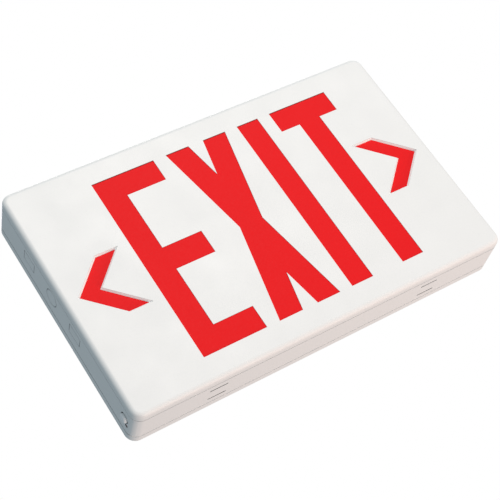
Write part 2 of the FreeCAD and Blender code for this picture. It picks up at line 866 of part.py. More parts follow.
def side_slots(body):
    """Two grooved blocks on the left wall, which hold the little board of the test switch."""
    start = "-width / 2 + wall / 2"
    base = "-height / 2 + wall / 2"
    near = "-width / 2 + side_board_in - strip_clear"
    far = "-width / 2 + side_board_in + side_board_thick + strip_clear"
    reach = f"{far} + wall"
    high = "-side_board_low + side_board_rise"
    low = "-side_board_low"
    bite = "(rail_bite + strip_clear)"
    blocks = sketch_on(body, "XZ_Plane", "web_start + web_thick / 2", "side_blocks")
    polygon(blocks, [
        (start, high), (near, high), (near, f"{high} + {bite}"), (far, f"{high} + {bite}"),
        (far, high), (reach, high), (reach, f"{high} + wall"), (start, f"{high} + wall"),
    ])
    polygon(blocks, [
        (start, base), (reach, base), (reach, low), (far, low),
        (far, f"{low} - {bite}"), (near, f"{low} - {bite}"), (near, low), (start, low),
    ])
    pad(body, blocks, "web_thick / 2 + side_board_deep")


def make_housing_frame():
    """The ring between the covers, with all that carries the works."""
    body = new_body("housing_frame")
    outline = sketch_on(body, "XZ_Plane", "cover_rim", "outline")
    ring_of_housing(outline, "0")
    ring_of_housing(outline, "wall")
    pad(body, outline, "depth - 2 * cover_rim")
    web(body)
    for name, offset, ahead in (("rear_rabbet", "cover_rim", True), ("front_rabbet", "depth - cover_rim", False)):
        rabbet = sketch_on(body, "XZ_Plane", offset, name)
        ring_of_housing(rabbet, "wall - lip_thick - lip_gap")
        ring_of_housing(rabbet, "wall + lip_gap")
        pocket(body, rabbet, "lip_depth + lip_gap", ahead=ahead)
    seam(body, "depth - cover_rim", "front_seam_wide", "front_seam_deep", False, "front_seam")
    seam(body, "cover_rim", "rear_seam_wide", "rear_seam_deep", True, "rear_seam")
    rails(body)
    side_slots(body)
    release_slots(body)
    holes = sketch_on(body, "YZ_Plane", "-width / 2", "button_hole")
    circle(holes, "-button_forward", "-button_drop", "button_hole")
    circle(holes, "-lamp_forward", "-lamp_drop", "lamp_hole")
    pocket(body, holes, "wall + hole_run", ahead=True)
    ends = knockouts(
        body, "YZ_Plane", "-width / 2", True, "end_knockouts",
        lambda along, level="": (f"-knockout_forward {level}", f"knockout_rise + {along}"),
    )
    mirror(body, "far_end_knockouts", [ends], "YZ_Plane")
    knockouts(
        body, "XY_Plane", "height / 2", False, "top_knockouts",
        lambda along, level="": (along, f"-knockout_forward {level}"),
    )


def make_legend_lens():
    """The red lens: one moulded panel, with raised letters and arrows that fill the face's openings."""
    body = new_body("legend_lens")
    back = "depth - wall - lens_thick"
    panel = sketch_on(body, "XZ_Plane", back, "panel")
    rounded(panel, "width / 2 - wall - lens_gap", "height / 2 - wall - lens_gap", "lens_round")
    pad(body, panel, "lens_thick")
    letters = sketch_on(body, "XZ_Plane", back, "raised_letters")
    for letter in LETTERS:
        polygon(letters, letter("-lens_clear"))
    pad(body, letters, "lens_thick + wall - letter_sunk")
    arrows = sketch_on(body, "XZ_Plane", back, "raised_arrows")
    for side in ("", "-"):
        polygon(arrows, chevron(side, "-lens_clear"))
    pad(body, arrows, "lens_thick + wall - chevron_sunk")
    holes = sketch_on(body, "XZ_Plane", back, "stake_holes")
    for across, up in STAKES:
        circle(holes, across, up, "stake_radius + stake_clear")
    pocket(body, holes, "lens_thick", ahead=True)


# Light strips ----------------------------------------------------------------------------


def make_strip(name, top):
    """A long board in its rails, and the row of diodes on its inner side."""
    seat = "height / 2 - wall - strip_drop"
    rear = "depth / 2 - strip_wide / 2"
    level = f"{seat} - strip_thick" if top else f"-({seat})"
    keep(block("-strip_long / 2", rear, level, "strip_long", "strip_wide", "strip_thick"), f"{name}_strip_board")
    under = f"{level} - diode_high" if top else f"{level} + strip_thick"
    count = int(worth("strip_long / diode_pitch"))
    diodes = []
    for number in range(count):
        middle = f"({number} - {count - 1} / 2) * diode_pitch"
        diodes.append(block(
            f"{middle} - diode_long / 2", "depth / 2 - diode_wide / 2", under,
            "diode_long", "diode_wide", "diode_high",
        ))
    keep(grouped(diodes), f"{name}_strip_diodes")


# Charger board -----------------------------------------------------------------------------


def make_board():
    """The charger board and the four screws that hold it to the web's bosses."""
    plate = block("-board_left", BOARD_BACK, "-board_low", "board_long", "board_thick", "board_high")
    holes = [rod(across, BOARD_BACK, up, "y", "screw_hole", "board_thick") for across, up in BOARD_SCREWS]
    keep(less(plate, holes), "charger_board")
    screws = [
        fused([
            rod(across, BOARD_FRONT, up, "y", "screw_head", "screw_head_high"),
            rod(across, f"{BOARD_FRONT} - (screw_long)", up, "y", "screw_shank", "screw_long + screw_head_high / 2"),
        ])
        for across, up in BOARD_SCREWS
    ]
    keep(grouped(screws), "board_screws")


def centred(middle_x, middle_f, middle_z, wide, thick, high):
    """A box about its centre."""
    return block(
        f"{middle_x} - ({wide}) / 2", f"{middle_f} - ({thick}) / 2", f"{middle_z} - ({high}) / 2",
        wide, thick, high,
    )


def make_transformer():
    """The laminated core, the moulded former round its middle leg, and the winding on that."""
    shell = "former_wall + former_clear"
    flange_wide = f"2 * core_leg + 2 * ({shell} + coil_thick) + former_wall"
    flange_thick = f"core_stack + 2 * ({shell} + coil_thick) + former_wall"
    spot = ("-board_left + core_in", f"{BOARD_FRONT} + ({flange_thick}) / 2", "-board_low + board_high / 2")
    window_high = "core_high - 2 * core_leg"
    window_wide = "core_wide / 2 - 2 * core_leg"
    core = centred(*spot, "core_wide", "core_stack", "core_high")
    windows = [
        centred(
            f"{spot[0]} {side} (core_leg + ({window_wide}) / 2)", spot[1], spot[2],
            window_wide, "core_stack", window_high,
        )
        for side in ("-", "+")
    ]
    keep(less(core, windows), "transformer_core")
    inner = ("2 * core_leg + 2 * former_clear", "core_stack + 2 * former_clear")
    outer = (f"2 * core_leg + 2 * ({shell})", f"core_stack + 2 * ({shell})")
    span = f"{window_high} - 2 * former_clear"
    tube = centred(*spot, *outer, span)
    ends = [
        centred(
            spot[0], spot[1], f"{spot[2]} {side} (({span}) / 2 - former_wall / 2)",
            flange_wide, flange_thick, "former_wall",
        )
        for side in ("-", "+")
    ]
    keep(less(fused([tube, *ends]), [centred(*spot, *inner, span)]), "transformer_former")
    coil_wide = f"{outer[0]} + 2 * coil_thick"
    coil_thick = f"{outer[1]} + 2 * coil_thick"
    coil_high = f"{span} - 2 * former_wall"
    coil = centred(*spot, coil_wide, coil_thick, coil_high)
    keep(less(coil, [centred(*spot, *outer, coil_high)]), "transformer_winding")


def make_capacitor(label, up, radius, tall):
    """An upright can with the groove that its seal is crimped by."""
    place_x = "-board_left + cap_in"
    place_z = f"-board_low + {up}"
    level = f"{BOARD_FRONT} + ({radius}) / 3"
    can = rod(place_x, BOARD_FRONT, place_z, "y", radius, tall)
    ring = rod(place_x, level, place_z, "y", f"{radius} + cap_groove", "cap_groove")
    neck = rod(place_x, level, place_z, "y", f"{radius} - cap_groove / 2", "cap_groove")
    keep(less(can, [less(ring, [neck])]), label)


def make_relay():
    """The relay that moves the light over to the battery when the supply fails."""
    keep(block(
        "-board_left + relay_in", BOARD_FRONT, "-board_low + relay_rise",
        "relay_long", "relay_high", "relay_wide",
    ), "transfer_relay")


def make_regulator():
    """The charging transistor: a tab with a hole, a moulded body in front of it and three legs."""
    left = "-board_left + regulator_in"
    low = "-board_low + regulator_rise"
    foot = f"{BOARD_FRONT} + leg_out"
    hole = rod(
        f"{left} + tab_wide / 2", f"{foot} + tab_hole_high", f"{low} - tab_thick",
        "z", "tab_hole", "3 * tab_thick",
    )
    tab = less(block(left, foot, low, "tab_wide", "tab_high", "tab_thick"), [hole])
    case = block(left, foot, f"{low} + tab_thick / 2", "tab_wide", "case_high", "case_thick")
    legs = [
        block(
            f"{left} + tab_wide / 2 - leg_wide / 2 + leg_pitch * {side}", BOARD_FRONT, f"{low} + 1.5 * tab_thick",
            "leg_wide", "leg_out + leg_thick", "leg_thick",
        )
        for side in (-1, 0, 1)
    ]
    keep(fused([tab, case, *legs]), "charging_transistor")


def axial(left, level, radius):
    """A part with a lead at each end, lying just over the board on two bent legs."""
    middle = f"{BOARD_FRONT} + axial_gap + {radius}"
    body = rod(f"{left} + (axial_span - axial_body) / 2", middle, level, "x", radius, "axial_body")
    lead = rod(left, middle, level, "x", "axial_lead", "axial_span")
    feet = (f"{left} + 2 * axial_lead", f"{left} + axial_span - 2 * axial_lead")
    legs = [rod(foot, BOARD_FRONT, level, "y", "axial_leg", f"axial_gap + {radius}") for foot in feet]
    return fused([body, lead, *legs])


def axial_row(across, up, count, radius):
    """A row of axial parts, one above another."""
    return [axial(f"-board_left + {across}", f"-board_low + {up} + {n} * axial_pitch", radius) for n in range(count)]


def make_small_parts():
    """The four rectifier diodes and the two rows of resistors."""
    keep(grouped(axial_row("diode_in", "diode_rise", 4, "diode_radius")), "rectifier_diodes")
    near = axial_row("resistor_in", "resistor_rise", 2, "resistor_radius")
    far = axial_row("resistor_far_in", "resistor_far_rise", 4, "resistor_radius")
    keep(grouped(near + far), "resistors")


def make_terminal_block():
    """The three-pole block for the supply wires, with its clamping screws."""
    left = "-board_left + block_in"
    low = "-board_low + block_rise"
    seat = f"{BOARD_FRONT} + clamp_seat"
    level = f"{low} + block_deep / 2"
    case = block(left, BOARD_FRONT, low, "block_pole * block_poles", "block_high", "block_deep")
    cuts = []
    screws = []
    for number in range(int(worth("block_poles"))):
        middle = f"{left} + block_pole * {number + 0.5}"
        cuts.append(rod(middle, seat, level, "y", "clamp_screw + clamp_clear", "block_high"))
        cuts.append(block(
            f"{middle} - wire_mouth / 2", f"{BOARD_FRONT} + mouth_rise", f"{low} - mouth_rise",
            "wire_mouth", "wire_mouth", "block_deep / 2 + mouth_rise",
        ))
        slot = block(
            f"{middle} - clamp_screw - clamp_clear", f"{seat} + clamp_long - clamp_slot", f"{level} - clamp_slot / 2",
            "2 * (clamp_screw + clamp_clear)", "clamp_long", "clamp_slot",
        )
        screws.append(less(rod(middle, seat, level, "y", "clamp_screw", "clamp_long"), [slot]))
    keep(less(case, cuts), "supply_terminal_block")
    keep(grouped(screws), "terminal_screws")


def make_connector(name):
    """A header on the board's upper edge, and the plug that is pushed into it."""
    left = f"{PLUGS[name]} - header_long / 2"
    low = "-board_low + board_high - header_wide"
    case = block(left, BOARD_FRONT, low, "header_long", "header_high", "header_wide")
    hollow = block(
        f"{left} + header_wall", f"{BOARD_FRONT} + header_wall", f"{low} + header_wall",
        "header_long - 2 * header_wall", "header_high", "header_wide - 2 * header_wall",
    )
    keep(less(case, [hollow]), f"{name}_header")
    rim = "header_wall + plug_clear"
    plug = block(
        f"{left} + {rim}", f"{BOARD_FRONT} + header_wall", f"{low} + {rim}",
        f"header_long - 2 * ({rim})", "header_high - header_wall + plug_out", f"header_wide - 2 * ({rim})",
    )
    keep(plug, f"{name}_plug")


# Battery -----------------------------------------------------------------------------------


def make_battery():
    """Three cells side by side in a shrunk sleeve, the strap over them and its screws."""
    middle = f"{WEB_FRONT} + battery_clear + cell_radius"
    cells = []
    for number in range(int(worth("cell_count"))):
        level = f"-battery_low + cell_radius * {2 * number + 1}"
        cells.append(rod("battery_left", middle, level, "x", "cell_radius", "cell_long"))
    waist = "2 * cell_radius * (cell_count - 1)"
    cells.append(block(
        "battery_left", f"{middle} - cell_radius", "-battery_low + cell_radius",
        "cell_long", "2 * cell_radius", waist,
    ))
    keep(fused(cells), "battery_pack")
    body = new_body("battery_strap")
    profile = sketch_on(body, "XY_Plane", f"{BATTERY_MIDDLE} - strap_wide / 2", "strap_profile")
    inner_left = "battery_left - battery_clear"
    inner_right = f"{BATTERY_RIGHT} + battery_clear"
    foot = f"-({WEB_FRONT})"
    under = f"{foot} - 2 * battery_clear - 2 * cell_radius"
    reach = "strap_thick + strap_foot"
    polygon(profile, [
        (f"{inner_left} - ({reach})", foot), (inner_left, foot), (inner_left, under), (inner_right, under),
        (inner_right, foot), (f"{inner_right} + {reach}", foot), (f"{inner_right} + {reach}", f"{foot} - strap_thick"),
        (f"{inner_right} + strap_thick", f"{foot} - strap_thick"),
        (f"{inner_right} + strap_thick", f"{under} - strap_thick"),
        (f"{inner_left} - strap_thick", f"{under} - strap_thick"),
        (f"{inner_left} - strap_thick", f"{foot} - strap_thick"),
        (f"{inner_left} - ({reach})", f"{foot} - strap_thick"),
    ])
    pad(body, profile, "strap_wide")
    holes = sketch_on(body, "XZ_Plane", WEB_FRONT, "strap_holes")
    for across, up in STRAP_SCREWS:
        circle(holes, across, up, "screw_hole")
    pocket(body, holes, "strap_thick", ahead=True)
    head = f"{WEB_FRONT} + strap_thick"
    screws = [
        fused([
            rod(across, head, up, "y", "screw_head", "screw_head_high"),
            rod(across, f"{head} - (strap_screw)", up, "y", "screw_shank", "strap_screw + screw_head_high / 2"),
        ])
        for across, up in STRAP_SCREWS
    ]
    keep(grouped(screws), "strap_screws")


# Test switch -------------------------------------------------------------------------------

SIDE_BOARD = "-width / 2 + side_board_in"
SWITCH_FACE = f"{SIDE_BOARD} - switch_deep"
FLANGE_FRONT = "-width / 2 + wall + flange_clear"


def make_side_board():
    """The little board in its grooves, with the switch and the pilot light on it."""
    keep(block(
        SIDE_BOARD, WEB_FRONT, "-side_board_low - rail_bite",
        "side_board_thick", "side_board_deep", "side_board_rise + 2 * rail_bite",
    ), "switch_board")
    case = block(
        SWITCH_FACE, "button_forward - switch_size / 2", "-button_drop - switch_size / 2",
        "switch_deep", "switch_size", "switch_size",
    )
    bore = rod(
        f"{SWITCH_FACE} - plunger_room", "button_forward", "-button_drop", "x",
        "plunger_radius + plunger_clear", "plunger_sunk + button_travel + 2 * plunger_room",
    )
    keep(less(case, [bore]), "test_switch")
    lamp_bend = "-width / 2 + lamp_sunk + lamp_radius"
    lamp = fused([
        rod(lamp_bend, "lamp_forward", "-lamp_drop", "x", "lamp_radius", "lamp_long"),
        ball(lamp_bend, "lamp_forward", "-lamp_drop", "lamp_radius"),
    ])
    keep(lamp, "pilot_lamp")
    start = f"{lamp_bend} + lamp_long"
    legs = [
        rod(start, "lamp_forward", f"-lamp_drop {side} lamp_pins / 2", "x", "lead_radius", f"{SIDE_BOARD} - ({start})")
        for side in ("-", "+")
    ]
    keep(grouped(legs), "pilot_lamp_leads")


def make_button():
    """The button, turned about its own axis: a domed cap, a flange behind the wall and a socket."""
    body = new_body("test_button")
    side = sketch_on(body, "XZ_Plane", "button_forward", "button_profile")
    crown = "-width / 2 - button_proud"
    seat = f"{FLANGE_FRONT} + flange_thick"
    polygon(side, [
        (crown, "-button_drop"), (crown, "-button_drop + button_radius"),
        (FLANGE_FRONT, "-button_drop + button_radius"), (FLANGE_FRONT, "-button_drop + flange_radius"),
        (seat, "-button_drop + flange_radius"), (seat, "-button_drop"),
    ])
    turn = body.newObject("PartDesign::Revolution", "button_turned")
    turn.Profile = side
    turn.ReferenceAxis = (side, ["Edge6"])
    turn.Angle = 360
    body.Tip = turn
    round_edges(
        body, "crown_round", "button_dome",
        lambda edge: all(abs(corner.X - worth(crown)) < TOUCH for corner in edge.Vertexes),
    )
    relief = sketch_on(body, "YZ_Plane", FLANGE_FRONT, "lamp_relief")
    circle(relief, "-lamp_forward", "-lamp_drop", "lamp_radius + lamp_relief")
    pocket(body, relief, "flange_thick", ahead=True)


def make_plunger():
    """The switch's plunger, which the button pushes in."""
    keep(rod(
        f"{SWITCH_FACE} - plunger_proud", "button_forward", "-button_drop", "x",
        "plunger_radius", "plunger_proud + plunger_sunk",
    ), "switch_plunger")


def make_spring():
    """The coil between the button's flange and the switch, in half turns that lean to and fro."""
    start = worth(f"{FLANGE_FRONT} + flange_thick + spring_wire")
    end = worth(f"{SWITCH_FACE} - spring_wire - spring_clear")
    radius = worth("spring_radius")
    halves = 2 * int(worth("spring_turns"))
    step = (end - start) / halves
    centre = FreeCAD.Vector(0, -worth("button_forward"), -worth("button_drop"))
    turns = []
    for number in range(halves):
        side = -1 if number % 2 else 1
        here = start + number * step
        tip = centre + FreeCAD.Vector(here, 0, side * radius)
        middle = centre + FreeCAD.Vector(here + step / 2, 0, 0)
        section = Part.Wire(Part.Circle(tip, FreeCAD.Vector(0, 1, 0), worth("spring_wire")).toShape())
        axis = FreeCAD.Vector(radius, 0, side * step / 2)
        turns.append(Part.Face(section).revolve(middle, axis, 180))
    item = doc.addObject("Part::Feature", "button_spring")
    item.Shape = turns[0].multiFuse(turns[1:]).removeSplitter()
    keep(item, "button_spring")


# Leads -------------------------------------------------------------------------------------

LEVEL_LOW = f"{PLUG_LEVEL} + lead_rise"
LEVEL_MIDDLE = f"{LEVEL_LOW} + lead_rise"
LEVEL_HIGH = f"{LEVEL_MIDDLE} + lead_rise"
STRIP_END = "-strip_long / 2 + lead_inset"
STRIP_FACE = "(height / 2 - wall - strip_drop - strip_thick)"


def leads(name, plug, colours, away, route):
    """The leads of one plug. Away is 1 if they turn right, and route says where each goes by its number."""
    count = len(colours)
    for number, colour in enumerate(colours):
        place = number if away < 0 else count - 1 - number
        across = f"{PLUGS[plug]} + lead_gap * ({number} - {(count - 1) / 2})"
        out = f"{PLUG_FRONT} + lead_out + {place} * lead_pitch"
        start = [(across, PLUG_FRONT, PLUG_LEVEL), (across, out, PLUG_LEVEL)]
        wire(f"{name}_{colour}", start + route(number, across, out))


def battery_route(number, across, out):
    """To the left end of the first or the last cell."""
    ahead = f"{WEB_FRONT} + battery_clear + cell_radius"
    cell = "cell_radius" if number else "(2 * cell_count - 1) * cell_radius"
    level = f"-battery_low + {cell}"
    first = f"{PLUG_LEVEL} - lead_rise" if number else LEVEL_LOW
    return [
        ("-board_left + board_long + lead_inset", f"{out} - lead_pitch", first),
        ("battery_left - lead_run", ahead, level),
        ("battery_left", ahead, level),
    ]


def lower_route(number, across, out):
    """Over the transformer and down to the end of the lower strip."""
    ahead = f"depth / 2 + lead_spread * ({number} - 0.5)"
    return [
        (across, out, LEVEL_LOW),
        (f"{STRIP_END} + lead_run / 2", f"{out} - lead_pitch", LEVEL_LOW),
        (STRIP_END, ahead, f"{LEVEL_LOW} - lead_run"),
        (STRIP_END, ahead, f"-{STRIP_FACE}"),
    ]


def switch_route(number, across, out):
    """Over the transformer and down to the little board of the test switch."""
    ahead = f"{WEB_FRONT} + side_board_deep / 2 + lead_spread * ({number} - 1)"
    side = f"{SIDE_BOARD} + side_board_thick"
    level = "-side_board_low + side_board_rise * 0.7"
    return [
        (across, out, LEVEL_MIDDLE),
        (f"{side} + lead_run", f"{out} - lead_pitch", LEVEL_MIDDLE),
        (f"{side} + lead_turn", ahead, f"{LEVEL_MIDDLE} - lead_run"),
        (f"{side} + lead_turn", ahead, level),
        (side, ahead, level),
    ]


def upper_route(number, across, out):
    """Over the transformer and up the left wall to the end of the upper strip."""
    ahead = f"depth / 2 + lead_spread * ({number} - 0.5)"
    wall_run = "-width / 2 + wall + lead_wall"
    return [
        (across, out, LEVEL_HIGH),
        (f"{wall_run} + lead_run", f"{out} - lead_pitch", LEVEL_HIGH),
        (wall_run, ahead, f"{LEVEL_HIGH} + lead_run"),
        (wall_run, ahead, f"{STRIP_FACE} - 1.4 * lead_run"),
        (STRIP_END, ahead, f"{STRIP_FACE} - 0.7 * lead_run"),
        (STRIP_END, ahead, STRIP_FACE),
    ]


def make_leads():
    """The leads from the board to the battery, the strips and the test switch."""
    leads("battery_lead", "battery", ("red", "black"), 1, battery_route)
    leads("lower_strip_lead", "lower_strip", ("red", "black"), -1, lower_route)
    leads("switch_lead", "test", ("white", "red", "black"), -1, switch_route)
    leads("upper_strip_lead", "upper_strip", ("red", "black"), -1, upper_route)


# Build -------------------------------------------------------------------------------------


def check_model():
    """Stops the build if an object failed, or if a sub-part is empty or not valid."""
    doc.recompute()
    for item in doc.Objects:
        if {"Invalid", "Error"} & set(item.State):
            raise RuntimeError(f"{item.Name} is {item.State}")
    for label, item in subparts.items():
        if item.Shape.isNull() or not item.Shape.isValid() or not item.Shape.Solids:
            raise RuntimeError(f"{label} is not a valid solid")


def write_parts():
    """Writes each sub-part to a file named after it."""
    os.makedirs("parts", exist_ok=True)
    for label, item in subparts.items():
        item.Shape.exportStep(f"parts/{label}.step")
        corner = item.Shape.BoundBox
        print(f"{label:24} {len(item.Shape.Solids)} solid(s)  {item.Shape.Volume:10.1f} mm3  "
              f"x {corner.XMin:.1f}..{corner.XMax:.1f}  y {corner.YMin:.1f}..{corner.YMax:.1f}  "
              f"z {corner.ZMin:.1f}..{corner.ZMax:.1f}")


fill_sheet()
make_front_cover()
make_legend_lens()
make_housing_frame()
make_rear_cover()
make_strip("upper", True)
make_strip("lower", False)
make_board()
make_transformer()
make_capacitor("reservoir_capacitor", "cap_rise", "cap_radius", "cap_high")
make_capacitor("filter_capacitor", "filter_rise", "filter_radius", "filter_high")
make_relay()
make_regulator()
make_small_parts()
make_terminal_block()
for name in PLUGS:
    make_connector(name)
make_battery()
make_side_board()
make_button()
make_plunger()
make_spring()
make_leads()
check_model()
write_parts()
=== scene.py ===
import json
import logging
import math
from dataclasses import dataclass
from enum import Enum
from typing import Sequence, Union

import bmesh
import bpy
from mathutils import Matrix, Vector


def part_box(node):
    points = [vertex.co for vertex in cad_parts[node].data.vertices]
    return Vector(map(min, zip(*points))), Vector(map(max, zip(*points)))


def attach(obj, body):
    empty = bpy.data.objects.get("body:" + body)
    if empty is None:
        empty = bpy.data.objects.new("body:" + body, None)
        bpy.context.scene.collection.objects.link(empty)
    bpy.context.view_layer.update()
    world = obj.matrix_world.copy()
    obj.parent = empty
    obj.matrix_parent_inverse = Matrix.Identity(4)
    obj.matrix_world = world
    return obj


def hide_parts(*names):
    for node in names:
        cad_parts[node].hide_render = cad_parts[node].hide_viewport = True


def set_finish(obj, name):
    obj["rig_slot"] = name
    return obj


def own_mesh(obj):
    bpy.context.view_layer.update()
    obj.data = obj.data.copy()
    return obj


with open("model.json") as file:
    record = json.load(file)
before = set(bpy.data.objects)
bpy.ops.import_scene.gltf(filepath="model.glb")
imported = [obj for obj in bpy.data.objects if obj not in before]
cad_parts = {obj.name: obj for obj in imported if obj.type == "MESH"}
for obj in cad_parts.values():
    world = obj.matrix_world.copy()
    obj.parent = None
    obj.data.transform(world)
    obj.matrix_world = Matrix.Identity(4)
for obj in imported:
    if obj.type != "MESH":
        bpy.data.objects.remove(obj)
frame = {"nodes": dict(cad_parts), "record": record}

log = logging.getLogger("exit_light")
Colour = tuple[float, float, float]
Point = tuple[float, float, float]
Span = tuple[float, float]
Pieces = list[bpy.types.Object]
Materials = dict[str, bpy.types.Material]
Number = Union["Signal", float]
MM = 0.001

# Points nearer than these are merged: in a finished mesh, and in a form as it is turned.
MERGE = 0.0005 * MM
TOUCH = 0.0001 * MM
# An edge that runs along an axis covers more of it than this.
LEAST_RUN = 0.1 * MM
# An edge is sharp where its faces turn by more than this.
SHARP = math.radians(32)
# Half a thread's width at its root, as a share of its pitch.
THREAD_FLANK = 0.3
# The sockets of a Mix node for colours: its share, its two colours and its result.
MIX_SHARE, MIX_FIRST, MIX_SECOND, MIX_RESULT = 0, 6, 7, 2


# Shader maths


class Signal:
    """One output socket of a node tree, with arithmetic that adds Math nodes."""

    def __init__(self, book: "NodeBook", socket: bpy.types.NodeSocket) -> None:
        """Keeps the socket and the tree that it belongs to."""
        self.book = book
        self.socket = socket

    def _pair(self, operation: str, first: Number, second: Number) -> "Signal":
        """Adds one Math node with two inputs."""
        return self.book.add("ShaderNodeMath", {"operation": operation}, {0: first, 1: second})

    def __add__(self, other: Number) -> "Signal":
        """This plus the other."""
        return self._pair("ADD", self, other)

    def __sub__(self, other: Number) -> "Signal":
        """This less the other."""
        return self._pair("SUBTRACT", self, other)

    def __rsub__(self, other: float) -> "Signal":
        """The other less this."""
        return self._pair("SUBTRACT", other, self)

    def __mul__(self, other: Number) -> "Signal":
        """This times the other."""
        return self._pair("MULTIPLY", self, other)

    def __gt__(self, other: Number) -> "Signal":
        """One where this is the greater, else nought."""
        return self._pair("GREATER_THAN", self, other)

    def __lt__(self, other: Number) -> "Signal":
        """One where this is the less, else nought."""
        return self._pair("LESS_THAN", self, other)

    def __mod__(self, other: float) -> "Signal":
        """This wrapped into the range from nought to the other."""
        return self._pair("FLOORED_MODULO", self, other)

    def __abs__(self) -> "Signal":
        """This without its sign."""
        return self.book.add("ShaderNodeMath", {"operation": "ABSOLUTE"}, {0: self})

    def __pow__(self, other: float) -> "Signal":
        """This to a power."""
        return self._pair("POWER", self, other)

    def at_least(self, other: Number) -> "Signal":
        """The greater of the two."""
        return self._pair("MAXIMUM", self, other)

    def fade(self, low: float, high: float) -> "Signal":
        """Nought below the low value and one above the high one, with a soft step between."""
        ends = {"Value": self, "From Min": low, "From Max": high}
        return self.book.add("ShaderNodeMapRange", {"interpolation_type": "SMOOTHSTEP"}, ends)


class NodeBook:
    """The node tree of one finish, with its shader already on its output."""

    def __init__(self, name: str) -> None:
        """Starts a material with one Principled shader.

        Args:
            name: The material's name.
        """
        self.material = bpy.data.materials.new(name)
        self.material.use_nodes = True
        self.tree = self.material.node_tree
        self.tree.nodes.clear()
        self.shader = self.tree.nodes.new("ShaderNodeBsdfPrincipled")
        output = self.tree.nodes.new("ShaderNodeOutputMaterial")
        self.tree.links.new(self.shader.outputs[0], output.inputs["Surface"])

    def add(
        self, kind: str, settings: dict | None = None, sockets: dict | None = None, out: int | str = 0
    ) -> Signal:
        """Adds any node.

        Args:
            kind: The node's type.
            settings: Its properties, set first, and a ramp's stops under "stops".
            sockets: What its inputs hold, by name or number: numbers, colours or signals.
            out: The output that is returned.

        Returns:
            The chosen output.
        """
        node = self.tree.nodes.new(kind)
        for name, value in (settings or {}).items():
            if name == "stops":
                self._set_stops(node.color_ramp, value)
            else:
                setattr(node, name, value)
        for name, value in (sockets or {}).items():
            self._put(node.inputs[name], value)
        return Signal(self, node.outputs[out])

    @staticmethod
    def _set_stops(ramp: bpy.types.ColorRamp, stops: list[Span]) -> None:
        """Gives a ramp its stops.

        Args:
            ramp: The ramp.
            stops: The place and the grey of each stop.
        """
        while len(ramp.elements) < len(stops):
            ramp.elements.new(0.5)
        for element, (spot, grey) in zip(ramp.elements, stops):
            element.position = spot
            element.color = (grey, grey, grey, 1.0)

    def _put(self, socket: bpy.types.NodeSocket, value: Number | tuple) -> None:
        """Links a signal to a socket, or sets the socket's own value.

        Args:
            socket: The socket.
            value: The signal, number, colour or vector.
        """
        if isinstance(value, Signal):
            self.tree.links.new(value.socket, socket)
        elif socket.type == "RGBA" and len(value) == 3:
            socket.default_value = (*value, 1.0)
        else:
            socket.default_value = value

    def set(self, name: str, value: Number | tuple) -> None:
        """Puts a value or a signal on the shader's own socket."""
        self._put(self.shader.inputs[name], value)

    def place(self) -> Signal:
        """The surface's place on the object, in metres."""
        return self.add("ShaderNodeTexCoord", out="Object")

    def axes(self) -> tuple[Signal, Signal, Signal]:
        """The three parts of the place, each a number."""
        split = self.add("ShaderNodeSeparateXYZ", sockets={0: self.place()})
        return tuple(Signal(self, split.socket.node.outputs[n]) for n in range(3))

    def noise(self, size: float, detail: float = 2.0, stretch: Point = (1.0, 1.0, 1.0)) -> Signal:
        """Soft noise.

        Args:
            size: The width of one grain, in metres.
            detail: How many finer layers it has.
            stretch: How many times the pattern is squeezed along each axis.

        Returns:
            The noise, about 0.5 on average.
        """
        squeezed = {"Vector": self.place(), "Scale": stretch}
        spot = self.add("ShaderNodeMapping", {"vector_type": "POINT"}, squeezed)
        grains = {"Vector": spot, "Scale": 1.0 / size, "Detail": detail}
        return self.add("ShaderNodeTexNoise", {}, grains, "Fac")

    def blend(self, mask: Signal, first: "Signal | Colour", second: "Signal | Colour") -> Signal:
        """The first colour where the mask is nought, and the second where it is one."""
        sockets = {MIX_SHARE: mask, MIX_FIRST: first, MIX_SECOND: second}
        return self.add("ShaderNodeMix", {"data_type": "RGBA"}, sockets, MIX_RESULT)

    def cover(self, mask: Signal, colour: Colour) -> None:
        """Lays a colour over the base colour where the mask is one."""
        under = Signal(self, self.shader.inputs["Base Color"].links[0].from_socket)
        self.set("Base Color", self.blend(mask, under, colour))

    def bump(self, height: Signal, depth: float) -> None:
        """Raises the surface by a height of nought to one, times a depth in metres."""
        relief = {"Height": height, "Distance": depth, "Strength": 1.0}
        self.set("Normal", self.add("ShaderNodeBump", {}, relief, "Normal"))


# Shapes


class Cut(Enum):
    """What a cutter leaves of a shape."""

    AWAY = "DIFFERENCE"
    WITHIN = "INTERSECT"


def add_object(name: str, data: bpy.types.ID) -> bpy.types.Object:
    """Adds an object to the scene.

    Args:
        name: Its name.
        data: The mesh, light or camera that it holds.

    Returns:
        The object.
    """
    thing = bpy.data.objects.new(name, data)
    bpy.context.scene.collection.objects.link(thing)
    return thing


